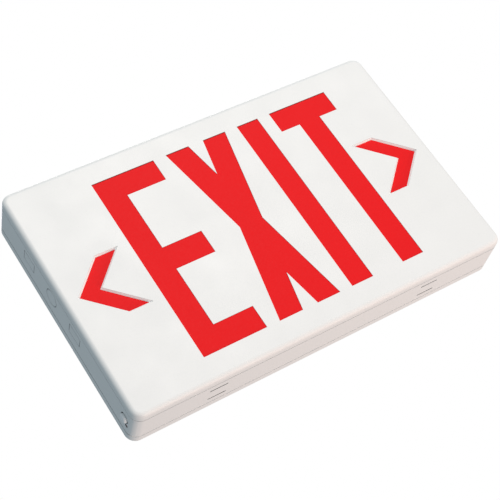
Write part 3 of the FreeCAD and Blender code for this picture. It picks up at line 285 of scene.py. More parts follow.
class Shape:
    """A mesh in the making, with the operators that the new pieces need."""

    def __init__(self) -> None:
        """Starts empty."""
        self.mesh = bmesh.new()

    @classmethod
    def of_node(cls, node: str) -> "Shape":
        """Starts from a copy of a CAD node's mesh.

        Args:
            node: The node's name.

        Returns:
            The shape, with its doubles merged.
        """
        shape = cls()
        shape.mesh.from_mesh(frame["nodes"][node].data)
        shape.merge(MERGE)
        return shape

    def merge(self, near: float) -> None:
        """Merges the points that are nearer to each other than this."""
        bmesh.ops.remove_doubles(self.mesh, verts=self.mesh.verts, dist=near)

    def block(
        self, low: Vector, high: Vector, rounding: float = 0.0, segments: int = 2, along: int | None = None
    ) -> None:
        """Adds a block.

        Args:
            low: Its lowest corner.
            high: Its highest corner.
            rounding: The radius of its edges.
            segments: How many steps a rounded edge has.
            along: The axis whose edges alone are rounded, or None for all edges.
        """
        verts = bmesh.ops.create_cube(self.mesh, size=1.0)["verts"]
        bmesh.ops.scale(self.mesh, verts=verts, vec=high - low)
        bmesh.ops.translate(self.mesh, verts=verts, vec=(low + high) / 2)
        edges = dict.fromkeys(edge for vert in verts for edge in vert.link_edges)
        if along is not None:
            runs = {edge: edge.verts[0].co - edge.verts[1].co for edge in edges}
            edges = [edge for edge, run in runs.items() if abs(run[along]) > LEAST_RUN]
        if rounding:
            bmesh.ops.bevel(
                self.mesh, geom=list(edges), offset=rounding, offset_type="OFFSET", segments=segments,
                profile=0.5, affect="EDGES", material=-1,
            )

    def turned(self, foot: Vector, axis: Vector, profile: Sequence[Span], steps: int = 24) -> None:
        """Adds a closed turned form.

        Args:
            foot: Where its axis starts.
            axis: Its direction, one unit long.
            profile: Its outline from end to end, each point a distance along the axis and a radius.
            steps: How many flats it has round it.
        """
        side = axis.orthogonal().normalized()
        verts = [self.mesh.verts.new(foot + axis * along + side * radius) for along, radius in profile]
        edges = [self.mesh.edges.new(pair) for pair in zip(verts, verts[1:])]
        bmesh.ops.spin(
            self.mesh, geom=verts + edges, cent=foot, axis=axis, angle=math.tau, steps=steps, use_merge=True
        )
        self.merge(TOUCH)

    def wound(self, ring: list, foot: Vector, axis: Vector, pitch: float, turns: float, steps: int) -> None:
        """Winds a closed outline into a helix and closes its ends.

        Args:
            ring: The outline's points and edges, already in the mesh.
            foot: A point on the axis.
            axis: Its direction, one unit long.
            pitch: How far it climbs in a turn.
            turns: How many turns it has.
            steps: How many steps a turn has.
        """
        bmesh.ops.spin(
            self.mesh, geom=ring, cent=foot, axis=axis, dvec=axis * (pitch / steps),
            angle=math.tau * turns, steps=round(steps * turns),
        )
        bmesh.ops.holes_fill(self.mesh, edges=[edge for edge in self.mesh.edges if edge.is_boundary])

    def thread(self, foot: Vector, axis: Vector, radii: Span, pitch: float, long: float) -> None:
        """Adds a screw thread.

        Args:
            foot: Where it starts on its axis.
            axis: Its direction, one unit long.
            radii: The radius at its root and at its crest.
            pitch: How far it climbs in a turn.
            long: How long it is.
        """
        side = axis.orthogonal().normalized()
        root, crest = radii
        outline = ((-THREAD_FLANK, root), (0.0, crest), (THREAD_FLANK, root))
        spots = [foot + axis * (along * pitch) + side * radius for along, radius in outline]
        verts = [self.mesh.verts.new(spot) for spot in spots]
        edges = [self.mesh.edges.new(pair) for pair in zip(verts, verts[1:] + verts[:1])]
        self.wound(verts + edges, foot, axis, pitch, long / pitch, steps=16)

    def cross(self, centre: Vector, half: float, reach: float, deep: float, taper: float) -> None:
        """Adds a cross that narrows along the second axis, to cut a driver's recess.

        Args:
            centre: The middle of its wide end.
            half: Half the width of an arm.
            reach: How far each arm reaches beyond its middle block.
            deep: How deep it is.
            taper: The size of its narrow end, as a share of its wide end.
        """
        side = Vector((half, 0.0, half))
        before = set(self.mesh.verts)
        self.block(centre - side, centre + side + Vector((0.0, deep, 0.0)))
        fresh = [vert for vert in self.mesh.verts if vert not in before]
        faces = dict.fromkeys(face for vert in fresh for face in vert.link_faces)
        walls = [face for face in faces if abs(face.normal.y) < 0.5]
        for arm in bmesh.ops.extrude_discrete_faces(self.mesh, faces=walls)["faces"]:
            bmesh.ops.translate(self.mesh, verts=arm.verts, vec=arm.normal * reach)
        self.merge(TOUCH)
        inner = [vert for vert in self.mesh.verts if vert.co.y > centre.y + deep / 2]
        bmesh.ops.scale(self.mesh, verts=inner, vec=(taper, 1.0, taper), space=Matrix.Translation(-centre))

    def sink(self, faces: list[bmesh.types.BMFace], border: float, deep: float) -> None:
        """Insets faces by a border and sinks them, or raises them by a negative depth."""
        bmesh.ops.inset_region(self.mesh, faces=faces, thickness=border, depth=-deep)

    def hand_over(self, name: str) -> bpy.types.Object:
        """Turns the faces outwards and uses the mesh up.

        Args:
            name: The name of the object that takes it.

        Returns:
            The object.
        """
        bmesh.ops.recalc_face_normals(self.mesh, faces=self.mesh.faces)
        data = bpy.data.meshes.new(name)
        self.mesh.to_mesh(data)
        self.mesh.free()
        return add_object(name, data)

    def cut(self, cutter: "Shape", kind: Cut) -> "Shape":
        """Cuts this shape with another, and uses both up.

        Args:
            cutter: The other shape.
            kind: Whether the cutter takes away what it covers or keeps that alone.

        Returns:
            What is left.
        """
        body, knife = self.hand_over("body"), cutter.hand_over("knife")
        change = body.modifiers.new("cut", "BOOLEAN")
        change.operation = kind.value
        change.solver = "EXACT"
        change.object = knife
        bpy.context.view_layer.update()
        graph = bpy.context.evaluated_depsgraph_get()
        left = bpy.data.meshes.new_from_object(body.evaluated_get(graph))
        result = Shape()
        result.mesh.from_mesh(left)
        result.merge(MERGE)
        # Each mesh takes its object with it.
        for data in (left, body.data, knife.data):
            bpy.data.meshes.remove(data)
        return result

    def stand(self, name: str, slot: str, instead_of: str = "") -> bpy.types.Object:
        """Turns the shape into a piece that rides on the housing.

        Args:
            name: The piece's name.
            slot: The material slot of its finish.
            instead_of: The CAD node that it stands for.

        Returns:
            The piece.
        """
        bmesh.ops.recalc_face_normals(self.mesh, faces=self.mesh.faces)
        for face in self.mesh.faces:
            face.smooth = True
        for edge in self.mesh.edges:
            edge.smooth = edge.calc_face_angle(math.pi) < SHARP
        piece = self.hand_over(name)
        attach(piece, "housing")
        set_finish(piece, slot)
        if instead_of:
            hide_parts(instead_of)
        log.info("%s: %d faces, %s", name, len(piece.data.polygons), slot)
        return piece


def solids(node: str) -> list[tuple[Vector, Vector]]:
    """Finds the solids of a CAD node.

    Args:
        node: The node's name.

    Returns:
        The lowest and highest corners of each solid, from left to right.
    """
    shape = Shape.of_node(node)
    left, boxes = set(shape.mesh.verts), []
    while left:
        waiting, group = [left.pop()], []
        while waiting:
            vert = waiting.pop()
            group.append(vert.co.copy())
            near = {edge.other_vert(vert) for edge in vert.link_edges} & left
            left -= near
            waiting.extend(near)
        boxes.append((Vector(map(min, zip(*group))), Vector(map(max, zip(*group)))))
    shape.mesh.free()
    return sorted(boxes, key=lambda box: tuple(box[0]))


def corners(node: str) -> tuple[Vector, Vector]:
    """The lowest and highest corners of a CAD node."""
    low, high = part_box(node)
    return Vector(low), Vector(high)


def housing_box() -> tuple[Vector, Vector]:
    """The lowest and highest corners of the housing without the button."""
    low, high = corners("front_cover")
    return low, Vector((high.x, corners("rear_cover")[1].y, high.z))


def middle_at(low: Vector, high: Vector, level: float) -> Vector:
    """The middle of a box, at a level from front to back."""
    return Vector(((low.x + high.x) / 2, level, (low.z + high.z) / 2))


# Finishes


@dataclass(frozen=True)
class Finish:
    """What each finish has: its name, its colour and how rough it is."""

    name: str
    colour: Colour
    roughness: float

    def make(self) -> bpy.types.Material:
        """Makes the material.

        Returns:
            The material, painted.
        """
        book = NodeBook(self.name)
        book.set("Base Color", self.colour)
        book.set("Roughness", self.roughness)
        self.paint(book)
        return book.material

    def paint(self, book: NodeBook) -> None:
        """Adds the finish's own nodes."""

    def tone(self, times: float) -> Colour:
        """The colour made lighter or darker."""
        return tuple(min(1.0, part * times) for part in self.colour)

    def mottle(self, book: NodeBook, mask: Signal, first: float, second: float) -> Signal:
        """The first tone where the mask is nought, and the second where it is one."""
        return book.blend(mask, self.tone(first), self.tone(second))


@dataclass(frozen=True)
class Moulded(Finish):
    """Moulded plastic: the tool's fine spark-eroded grain with darker pits, and a little cloudiness."""

    grain: float = 0.45 * MM
    grain_depth: float = 0.02 * MM
    cloud: float = 28 * MM
    fade: float = 0.98
    gloss: float = 0.5
    cloud_gloss: float = 0.2
    grain_gloss: float = 0.12
    pits: float = 0.12
    pit_tone: float = 0.8

    def unevenness(self, cloud: Signal, grain: Signal) -> Signal:
        """The roughness, uneven with the cloudiness and the grain."""
        return (cloud - 0.5) * self.cloud_gloss + (grain - 0.5) * self.grain_gloss + self.roughness

    def paint(self, book: NodeBook) -> None:
        """Paints the cloudiness, the grain's relief and the uneven gloss.

        Args:
            book: The tree to paint.
        """
        grain = book.noise(self.grain, 3.0)
        cloud = book.noise(self.cloud, 3.0)
        colour = self.mottle(book, cloud, 1.02, self.fade)
        speck = book.add("ShaderNodeValToRGB", {"stops": [(0.3, 1.0), (0.42, 0.0)]}, {0: grain})
        book.set("Base Color", book.blend(speck * self.pits, colour, self.tone(self.pit_tone)))
        book.set("Roughness", self.unevenness(cloud, grain))
        book.set("Specular IOR Level", self.gloss)
        book.bump(grain, self.grain_depth)


@dataclass(frozen=True)
class LensPlastic(Finish):
    """Tinted translucent sheet: even colour, matt front, and shade under the letters' upper edges."""

    shadow: float = 0.5 * MM
    shadow_strength: float = 0.75
    shadow_tone: float = 0.12
    gloss: float = 0.12
    ripple: float = 0.006 * MM

    def paint(self, book: NodeBook) -> None:
        """Paints the faint cloudiness, the shade under the upper edges and the ripple.

        Args:
            book: The tree to paint.
        """
        cloud = book.noise(24 * MM, 3.0)
        ripple = book.noise(1.1 * MM, 1.0)
        book.set("Base Color", self.mottle(book, cloud, 0.97, 1.03))
        _, ahead, up = book.axes()
        front = corners("legend_lens")[0].y
        points = [vert.co for vert in frame["nodes"]["legend_lens"].data.vertices]
        top = max(point.z for point in points if point.y < front + 0.05 * MM)
        shaded = (up > top - self.shadow) * (ahead < front + 0.1 * MM)
        book.cover(shaded * self.shadow_strength, self.tone(self.shadow_tone))
        book.set("Roughness", (ripple - 0.5) * 0.15 + self.roughness)
        book.set("Specular IOR Level", self.gloss)
        book.bump(ripple, self.ripple)


@dataclass(frozen=True)
class Metal(Finish):
    """Bare or plated metal, a little uneven."""

    def paint(self, book: NodeBook) -> None:
        """Paints the uneven plating and its fine relief.

        Args:
            book: The tree to paint.
        """
        relief = book.noise(0.5 * MM)
        cloud = book.noise(3 * MM)
        book.set("Base Color", self.mottle(book, cloud, 0.85, 1.08))
        book.set("Metallic", 1.0)
        book.set("Roughness", (relief - 0.5) * 0.25 + self.roughness)
        book.bump(relief, 0.01 * MM)


@dataclass(frozen=True)
class Board(Finish):
    """Glass-fibre board under solder mask, with copper tracks showing through as paler lines."""

    pitch: float = 2.54 * MM
    track: float = 0.32  # the tracks' width, as a share of the pitch
    wander: float = 4 * MM

    def paint(self, book: NodeBook) -> None:
        """Paints the tracks, the mask's ripple and the board's weave.

        Args:
            book: The tree to paint.
        """
        _, ahead, up = book.axes()
        wander = (book.noise(9 * MM, 0.0) - 0.5) * self.wander
        rows = abs(((up + ahead + wander) * (1 / self.pitch)) % 1.0 - 0.5) < self.track / 2
        gaps = book.noise(14 * MM, 0.0, (1.0, 1.0, 2.5)) > 0.5
        track = rows * gaps
        weave = book.noise(0.6 * MM, 1.0)
        mask = self.mottle(book, weave, 0.85, 1.15)
        book.set("Base Color", book.blend(track * 0.6, mask, self.tone(2.2)))
        book.set("Coat Weight", 0.6)
        book.set("Coat Roughness", 0.12)
        book.bump(track + weave * 0.1, 0.035 * MM)


@dataclass(frozen=True)
class Laminations(Finish):
    """Stacked steel stampings, varnished: thin lines across the stack."""

    sheet: float = 0.5 * MM
    varnish: Colour = (0.11, 0.07, 0.04)

    def paint(self, book: NodeBook) -> None:
        """Paints the sheets' edges and rust-dark varnish.

        Args:
            book: The tree to paint.
        """
        _, ahead, _ = book.axes()
        line = abs((ahead * (1 / self.sheet)) % 1.0 - 0.5)
        varnish = book.noise(2 * MM, 3.0)
        edge = self.mottle(book, line * 1.6, 0.45, 1.25)
        book.set("Base Color", book.blend(varnish * 0.5, edge, self.varnish))
        book.set("Metallic", 0.6)
        book.set("Roughness", varnish * 0.2 + self.roughness)
        book.bump(line, 0.04 * MM)


@dataclass(frozen=True)
class Tinted(Finish):
    """Clear tinted plastic of uneven depth, as on a small indicator."""

    def paint(self, book: NodeBook) -> None:
        """Paints the depth of the tint.

        Args:
            book: The tree to paint.
        """
        depth = book.noise(1.5 * MM, 1.0)
        book.set("Base Color", self.mottle(book, depth, 0.6, 1.3))
        book.set("Coat Weight", 0.8)
        book.set("Coat Roughness", 0.05)


@dataclass(frozen=True)
class Sleeve(Finish):
    """Shrunk plastic sleeve: glossy, with stretch lines and a little cloudiness."""

    def paint(self, book: NodeBook) -> None:
        """Paints the stretch lines and the creases.

        Args:
            book: The tree to paint.
        """
        crease = book.noise(2.2 * MM, 2.0, (0.25, 1.0, 1.0))
        cloud = book.noise(12 * MM, 2.0)
        book.set("Base Color", self.mottle(book, cloud, 0.85, 1.15))
        book.set("Roughness", (crease - 0.5) * 0.2 + self.roughness)
        book.bump(crease, 0.12 * MM)


@dataclass(frozen=True)
class Housing(Moulded):
    """The housing's plastic: the grain, with painted shade in its seams, scores, slots and openings, and
    painted light on the arrows' slopes.
    """

    # How light each painted tone is, as a share of the colour: painted shade in the crevices and depths,
    # painted light on the arrows' slopes
    crevice_shade_tone: float = 0.3
    depth_shade_tone: float = 0.13
    slope_light_tone: float = 1.16
    # Where the shade begins and is full, under the sides, face, back and arrows' rims
    side_step: Span = (0.08 * MM, 0.35 * MM)
    face_step: Span = (0.04 * MM, 0.15 * MM)
    back_step: Span = (0.08 * MM, 0.4 * MM)
    rim_step: Span = (0.02 * MM, 0.06 * MM)
    # Where it ends, and where the rear seam, the depths and the arrows' slopes end
    side_end: float = 0.95 * MM
    face_end: float = 2.2 * MM
    back_end: float = 2.3 * MM
    rim_end: float = 0.2 * MM
    seam_end: float = 0.9 * MM
    depths_end: float = 2.0 * MM
    slopes_end: float = 1.6 * MM
    # The bottom and its rear seam, the covers' lips, and the slots' start and places
    bottom: float = 4 * MM
    seam: float = 9 * MM
    lip: float = 3.7 * MM
    slot_start: float = 0.2 * MM
    slot_across: float = 90 * MM
    slot_half: float = 8 * MM
    # The plain border of the face and back, and where the arrows are
    border: float = 5 * MM
    arrow_across: float = 98 * MM
    arrow_up: float = 26 * MM

    def paint(self, book: NodeBook) -> None:
        """Paints the grain, then paints shade on what lies just under the outer skin, and light on the
        arrows' slopes.

        Args:
            book: The tree to paint.
        """
        grain = book.noise(self.grain, 3.0)
        fleck = book.noise(0.9 * MM, 2.0)
        cloud = book.noise(self.cloud, 3.0)
        unshaded_tone = self.mottle(book, cloud, 1.015, self.fade)
        flecked = book.blend(fleck.fade(0.62, 0.8) * 0.5, unshaded_tone, self.tone(0.86))
        shade, deep, painted_slope_light = self.painted_shade_masks(book)
        # Painted shade: the seams, scores, slots and the openings' walls are darkened in the colour
        book.set("Base Color", book.blend(shade, flecked, self.tone(self.crevice_shade_tone)))
        # Deeper painted shade in the bottom's slots and in the other depths behind the outer skin
        book.cover(deep, self.tone(self.depth_shade_tone))
        # Painted light: the arrows' sloped borders are made paler than the plastic
        book.cover(painted_slope_light, self.tone(self.slope_light_tone))
        book.set("Roughness", self.unevenness(cloud, grain) + shade * 0.2)
        book.set("Specular IOR Level", self.gloss)
        book.bump(grain * 0.6 + fleck * 0.4, self.grain_depth)

    def painted_shade_masks(self, book: NodeBook) -> tuple[Signal, Signal, Signal]:
        """Finds where shade and light are painted: the seams, scores, slots and cut-outs, by their place
        under the outer skin.

        Args:
            book: The tree to add to.

        Returns:
            Three masks: where shade is painted, where deeper shade is painted, and the arrows' slopes,
                where light is painted.
        """
        low, high = housing_box()
        corner = HousingFrame.corner
        across, ahead, up = book.axes()
        beyond_side = (abs(across) - (high.x - corner)).at_least(0.0)
        beyond_top = (abs(up) - (high.z - corner)).at_least(0.0)
        under_side = corner - (beyond_side * beyond_side + beyond_top * beyond_top) ** 0.5
        front, back = (end.y for end in corners("housing_frame"))
        beside = (ahead > front - 0.05 * MM) * (ahead < back + 0.05 * MM)
        bottom = up < self.bottom - high.z
        tight = bottom * (ahead > back - self.seam) * (under_side < self.seam_end)
        # Painted shade in the seams and scores round the sides, left off along the bottom's rear seam
        sides = under_side.fade(*self.side_step) * (under_side < self.side_end) * beside * (1 - tight)
        between_lips = abs(ahead - (front + back) / 2) < (back - front) / 2 - self.lip
        slots = bottom * between_lips * (abs(abs(across) - self.slot_across) < self.slot_half)
        # Where the deeper shade is painted: past the skin, and in the slots from their start
        below = (under_side > self.side_end) * (1 - slots) + (under_side > self.slot_start) * slots
        deep = below * (under_side < self.depths_end) * between_lips
        inner = (abs(across) < high.x - self.border) * (abs(up) < high.z - self.border)
        under_face, under_back = ahead - low.y, 0.0 - ahead
        arrows = (abs(across) > self.arrow_across) * (abs(up) < self.arrow_up) * inner
        # Painted shade on the walls of the openings in the face and the back
        face = under_face.fade(*self.face_step) * (under_face < self.face_end) * (1 - arrows) * inner
        rear = under_back.fade(*self.back_step) * (under_back < self.back_end) * inner
        # A painted shade line along the arrows' rims, added at half strength
        rim = under_face.fade(*self.rim_step) * (under_face < self.rim_end) * arrows
        # Painted light on the arrows' sloped borders
        painted_slope_light = (under_face > self.rim_end) * (under_face < self.slopes_end) * arrows
        return sides + face + rear + rim * 0.5, deep, painted_slope_light


@dataclass(frozen=True)
class Banded(Moulded):
    """A small lacquered part with bands painted round it."""

    middle: float = 0.0
    spacing: float = 14 * MM
    band: float = 0.5 * MM
    bands: tuple[tuple[float, Colour], ...] = ()

    def paint(self, book: NodeBook) -> None:
        """Paints the lacquer, then the bands at their places along the part.

        Args:
            book: The tree to paint.
        """
        super().paint(book)
        across, _, _ = book.axes()
        along = (across - (self.middle - self.spacing / 2)) % self.spacing - self.spacing / 2
        for place, colour in self.bands:
            book.cover(abs(along - place) < self.band / 2, colour)


DARK: Colour = (0.022, 0.022, 0.024)
WIRE = (0.4, 0.3 * MM, 0.006 * MM, 9 * MM)
FINISHES: tuple[Finish, ...] = (
    Housing("white_housing", (0.86, 0.865, 0.85), 0.5),
    LensPlastic("red_lens", (0.86, 0.003, 0.006), 0.55),
    Board("circuit_board", (0.035, 0.2, 0.075), 0.4),
    Moulded("diode_package", (0.75, 0.06, 0.05), 0.3, 0.3 * MM, 0.005 * MM, 2 * MM),
    Metal("plated_steel", (0.72, 0.72, 0.74), 0.3),
    Laminations("core_laminations", (0.3, 0.3, 0.31), 0.45),
    Moulded("black_plastic", DARK, 0.45, 0.25 * MM, 0.015 * MM, 8 * MM),
    Sleeve("copper_tape", (0.62, 0.42, 0.06), 0.35),
    Sleeve("can_sleeve", (0.02, 0.035, 0.12), 0.3),
    Banded(
        "resistor_body", (0.55, 0.4, 0.22), 0.35, 0.2 * MM, 0.01 * MM, 3 * MM, middle=-51 * MM,
        bands=(
            (-1.9 * MM, (0.3, 0.13, 0.04)), (-0.9 * MM, (0.02, 0.02, 0.02)),
            (0.1 * MM, (0.6, 0.03, 0.02)), (1.9 * MM, (0.7, 0.5, 0.12)),
        ),
    ),
    Banded(
        "banded_diode", DARK, 0.4, 0.25 * MM, 0.01 * MM, 8 * MM, middle=-49 * MM,
        band=0.8 * MM, bands=((1.6 * MM, (0.62, 0.62, 0.64)),),
    ),
    Moulded("terminal_green", (0.03, 0.27, 0.13), 0.45, 0.25 * MM, 0.015 * MM, 6 * MM),
    Moulded("ivory_plastic", (0.78, 0.73, 0.6), 0.4, 0.25 * MM, 0.01 * MM, 5 * MM),
    Sleeve("battery_sleeve", (0.05, 0.14, 0.38), 0.28),
    Tinted("pilot_red", (0.5, 0.04, 0.04), 0.15),
    Moulded("button_white", (0.95, 0.95, 0.94), 0.28, 0.5 * MM, 0.004 * MM, 10 * MM),
    Metal("spring_steel", (0.62, 0.61, 0.6), 0.25),
    Moulded("wire_red", (0.55, 0.02, 0.02), *WIRE),
    Moulded("wire_black", (0.018, 0.018, 0.018), *WIRE),
    Moulded("wire_white", (0.8, 0.8, 0.78), *WIRE),
)


@dataclass(frozen=True)
class FloorPaint(Finish):
    """Pale floor paint, evenly lit."""

    glow: Colour = (0.93, 0.94, 0.95)
    glow_strength: float = 0.5

    def paint(self, book: NodeBook) -> None:
        """Paints a faint mottle and lifts the floor's brightness.

        Args:
            book: The tree to paint.
        """
        cloud = book.noise(0.4, 3.0)
        book.set("Base Color", self.mottle(book, cloud, 1.02, 0.97))
        book.set("Emission Color", self.glow)
        book.set("Emission Strength", self.glow_strength)


def dress_nodes(made: Materials) -> None:
    """Gives each carried-over node the finish of its slot.

    Args:
        made: The materials by slot name.
    """
    for part in frame["record"]["subparts"]:
        node = frame["nodes"][part["node"]]
        for place in node.material_slots:
            place.material = made[part["material_slot"]]
        log.info("%s: %s", part["node"], part["material_slot"])
    frame["nodes"]["rectifier_diodes"].material_slots[0].material = made["banded_diode"]


# Pieces


AHEAD = Vector((0.0, -1.0, 0.0))
BEHIND = Vector((0.0, 1.0, 0.0))
ACROSS = Vector((1.0, 0.0, 0.0))


@dataclass(frozen=True)
class SubAssembly:
    """What the sub-assemblies share: each builds its pieces, then dresses them."""

    def build(self) -> Pieces:
        """Builds the pieces."""
        raise NotImplementedError

    def dress(self, pieces: Pieces, made: Materials) -> None:
        """Gives each piece the finish of its slot."""
        for piece in pieces:
            piece.data.materials.append(made[piece["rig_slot"]])


@dataclass(frozen=True)
class HousingFrame(SubAssembly):
    """The housing's middle frame, with its web and blocks cut back to the rounded outline."""

    corner: float = 8 * MM
    slack: float = 0.01 * MM
    corner_steps: int = 32

    def build(self) -> Pieces:
        """Cuts the frame to the outline.

        Returns:
            The frame.
        """
        low, high = housing_box()
        outline = Shape()
        spare = Vector((1.0, 1.0, 1.0)) * self.slack
        outline.block(low - spare, high + spare, self.corner + self.slack, self.corner_steps, along=1)
        trimmed = Shape.of_node("housing_frame").cut(outline, Cut.WITHIN)
        return [trimmed.stand("housing_frame_moulding", "white_housing", "housing_frame")]


@dataclass(frozen=True)
class PanScrews(SubAssembly):
    """Pan-head screws with a cross recess and a rolled thread."""

    node: str
    head: float = 1.8 * MM
    core: float = 1.12 * MM
    crest: float = 1.38 * MM
    pitch: float = 0.7 * MM
    recess: float = 1.1 * MM
    arm: float = 0.34 * MM
    reach: float = 1.1 * MM
    taper: float = 0.62
    proud: float = 0.2 * MM
    sunk: float = 0.02 * MM

    def build(self) -> Pieces:
        """Builds every screw of the node.

        Returns:
            The screws.
        """
        whole, recesses = Shape(), Shape()
        head, core, boxes = self.head, self.core, solids(self.node)
        for low, high in boxes:
            wide, long, foot = (high.x - low.x) / 2, high.y - low.y, middle_at(low, high, low.y)
            profile = (
                (0.0, 0.0), (0.0, 0.58 * wide), (0.12 * head, 0.8 * wide), (0.32 * head, 0.94 * wide),
                (0.58 * head, wide), (head, wide), (head, core), (long - core, core), (long, 0.2 * core),
                (long, 0.0),
            )
            whole.turned(foot, BEHIND, profile)
            mouth = foot + AHEAD * self.proud
            recesses.cross(mouth, self.arm, self.reach, self.recess + self.proud, self.taper)
        screws = whole.cut(recesses, Cut.AWAY)
        for low, high in boxes:
            foot = middle_at(low, high, low.y + head + self.pitch)
            long = high.y - foot.y - 1.5 * self.pitch
            screws.thread(foot, BEHIND, (core - self.sunk, self.crest), self.pitch, long)
        return [screws.stand(f"{self.node}_threaded", "plated_steel", self.node)]


@dataclass(frozen=True)
class ClampScrews(SubAssembly):
    """The terminal block's slotted cheese-head screws."""

    node: str = "terminal_screws"
    head: float = 1.6 * MM
    core: float = 1.25 * MM
    slot_wide: float = 0.5 * MM
    slot_deep: float = 0.8 * MM
    proud: float = 0.1 * MM

    def build(self) -> Pieces:
        """Builds the screws, then cuts their slots.

        Returns:
            The screws.
        """
        whole, slots, head, core = Shape(), Shape(), self.head, self.core
        for low, high in solids(self.node):
            wide, long, foot = (high.x - low.x) / 2, high.y - low.y, middle_at(low, high, low.y)
            profile = (
                (0.0, 0.0), (0.0, 0.86 * wide), (0.12 * head, 0.96 * wide), (0.3 * head, wide),
                (head, wide), (head, core), (long, core), (long, 0.0),
            )
            whole.turned(foot, BEHIND, profile)
            half = Vector((wide + self.proud, self.proud, self.slot_wide / 2))
            slots.block(foot - half, foot + half + BEHIND * (self.slot_deep - self.proud))
        screws = whole.cut(slots, Cut.AWAY)
        return [screws.stand(f"{self.node}_slotted", "plated_steel", self.node)]


@dataclass(frozen=True)
class ButtonSpring(SubAssembly):
    """The test button's return spring, wound from round wire."""

    wire: float = 0.25 * MM
    radius: float = 3.0 * MM
    turns: float = 3.0
    fixed_end: Point = (-0.148, -0.0208, -0.0844)
    travel: float = 2 * MM

    def build(self) -> Pieces:
        """Winds the spring and gives it its own copy of the mesh.

        Returns:
            The spring.
        """
        low, high = corners("button_spring")
        middle = (low + high) / 2
        foot = Vector((low.x + self.wire, middle.y, middle.z))
        long = high.x - low.x
        pitch = (long - 2 * self.wire) / self.turns
        shape = Shape()
        circle = bmesh.ops.create_circle(shape.mesh, cap_ends=False, radius=self.wire, segments=10)
        bmesh.ops.translate(shape.mesh, verts=circle["verts"], vec=foot + BEHIND * self.radius)
        ring = circle["verts"] + list(shape.mesh.edges)
        shape.wound(ring, foot, ACROSS, pitch, self.turns, steps=32)
        spring = shape.stand("button_spring_wound", "spring_steel", "button_spring")
        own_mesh(spring)
        return [spring]


@dataclass(frozen=True)
class Capacitor(SubAssembly):
    """A can capacitor: its crimp groove, rolled rim and scored top."""

    node: str
    groove: float = 0.4 * MM
    rim: float = 0.5 * MM
    score: float = 0.2 * MM

    def build(self) -> Pieces:
        """Turns the can, then scores its top.

        Returns:
            The can.
        """
        low, high = corners(self.node)
        wide, long, groove, rim = (high.x - low.x) / 2, high.y - low.y, self.groove, self.rim
        foot, top = middle_at(low, high, high.y), long - 0.4 * rim
        profile = (
            (0.0, 0.0), (0.0, wide - rim), (0.3 * MM, wide), (1.5 * MM, wide), (1.8 * MM, wide - groove),
            (2.3 * MM, wide - groove), (2.6 * MM, wide), (long - rim, wide),
            (long - 0.3 * rim, wide - 0.3 * rim), (long, wide - rim), (long, wide - 1.4 * rim),
            (top, wide - 1.8 * rim), (top, 0.0),
        )
        can, scores = Shape(), Shape()
        can.turned(foot, AHEAD, profile, 36)
        mouth = foot + AHEAD * (top + self.score)
        scores.cross(mouth, self.score / 2, wide - 2.6 * rim, 2 * self.score, taper=1.0)
        can = can.cut(scores, Cut.AWAY)
        return [can.stand(f"{self.node}_can", "can_sleeve", self.node)]


@dataclass(frozen=True)
class PilotLamp(SubAssembly):
    """The small indicator under the button: a flange, a body and a domed end."""

    flange: float = 0.5 * MM
    step: float = 0.07 * MM
    dome: float = 1.4 * MM

    def build(self) -> Pieces:
        """Turns the lamp, its dome outwards.

        Returns:
            The lamp.
        """
        low, high = corners("pilot_lamp")
        wide, long = (high.y - low.y) / 2, high.x - low.x
        slim = wide - self.step
        foot = Vector((high.x, (low.y + high.y) / 2, (low.z + high.z) / 2))
        profile = [(0.0, 0.0), (0.0, wide), (self.flange, wide), (self.flange, slim)]
        for angle in map(math.radians, range(0, 91, 18)):
            profile.append((long - self.dome * (1 - math.sin(angle)), slim * math.cos(angle)))
        lamp = Shape()
        lamp.turned(foot, -ACROSS, profile)
        return [lamp.stand("pilot_lamp_domed", "pilot_red", "pilot_lamp")]


@dataclass(frozen=True)
class TransferRelay(SubAssembly):
    """The relay's moulded case, with a sunk top and the nub that seals its vent."""

    rounding: float = 0.5 * MM
    border: float = 0.8 * MM
    sunk: float = 0.25 * MM
    nub: float = 0.9 * MM
    nub_in: float = 3 * MM
    nub_slope: float = 0.6

    def build(self) -> Pieces:
        """Builds the case and its nub.

        Returns:
            The case.
        """
        low, high = corners("transfer_relay")
        case = Shape()
        case.block(low, high, self.rounding, 3)
        top = [min(case.mesh.faces, key=lambda face: face.calc_center_median().y - face.calc_area())]
        case.sink(top, self.border, 0.0)
        case.sink(top, self.sunk / 2, self.sunk)
        foot = Vector((low.x + self.nub_in, low.y + 2 * self.sunk, low.z + self.nub_in))
        nub, wall, end = self.nub, 1.6 * self.sunk, 1.9 * self.sunk
        profile = ((0.0, 0.0), (0.0, nub), (wall, nub), (end, self.nub_slope * nub), (end, 0.0))
        case.turned(foot, AHEAD, profile, 16)
        return [case.stand("transfer_relay_case", "black_plastic", "transfer_relay")]


@dataclass(frozen=True)
class BatteryPack(SubAssembly):
    """Three cells side by side, their grooved ends showing past a shrunk sleeve."""

    cells: int = 3
    bare: float = 0.8 * MM
    lip: float = 0.9 * MM
    lip_out: float = 0.48 * MM
    slack: float = 0.01 * MM

    def build(self) -> Pieces:
        """Builds the sleeve and the cells' ends.

        Returns:
            The battery.
        """
        low, high = corners("battery_pack")
        radius, long = (high.y - low.y) / 2, high.x - low.x
        shape = Shape()
        inset = ACROSS * self.bare
        shape.block(low + inset, high - inset, radius - self.slack, 12, along=0)
        ends = [face for face in shape.mesh.faces if abs(face.normal.x) > 0.9]
        shape.sink(ends, self.lip, -self.lip_out)
        half = (
            (0.0, 0.0), (0.0, 0.36), (0.25 * MM, 0.4), (0.3 * MM, 0.68), (0.0, 0.72), (0.0, 0.78),
            (0.5 * MM, 0.82),
        )
        profile = [(along, share * radius) for along, share in half]
        profile += [(long - along, wide) for along, wide in reversed(profile)]
        for number in range(self.cells):
            foot = low + Vector((0.0, radius, radius * (2 * number + 1)))
            shape.turned(foot, ACROSS, profile, 28)
        return [shape.stand("battery_cells", "battery_sleeve", "battery_pack")]


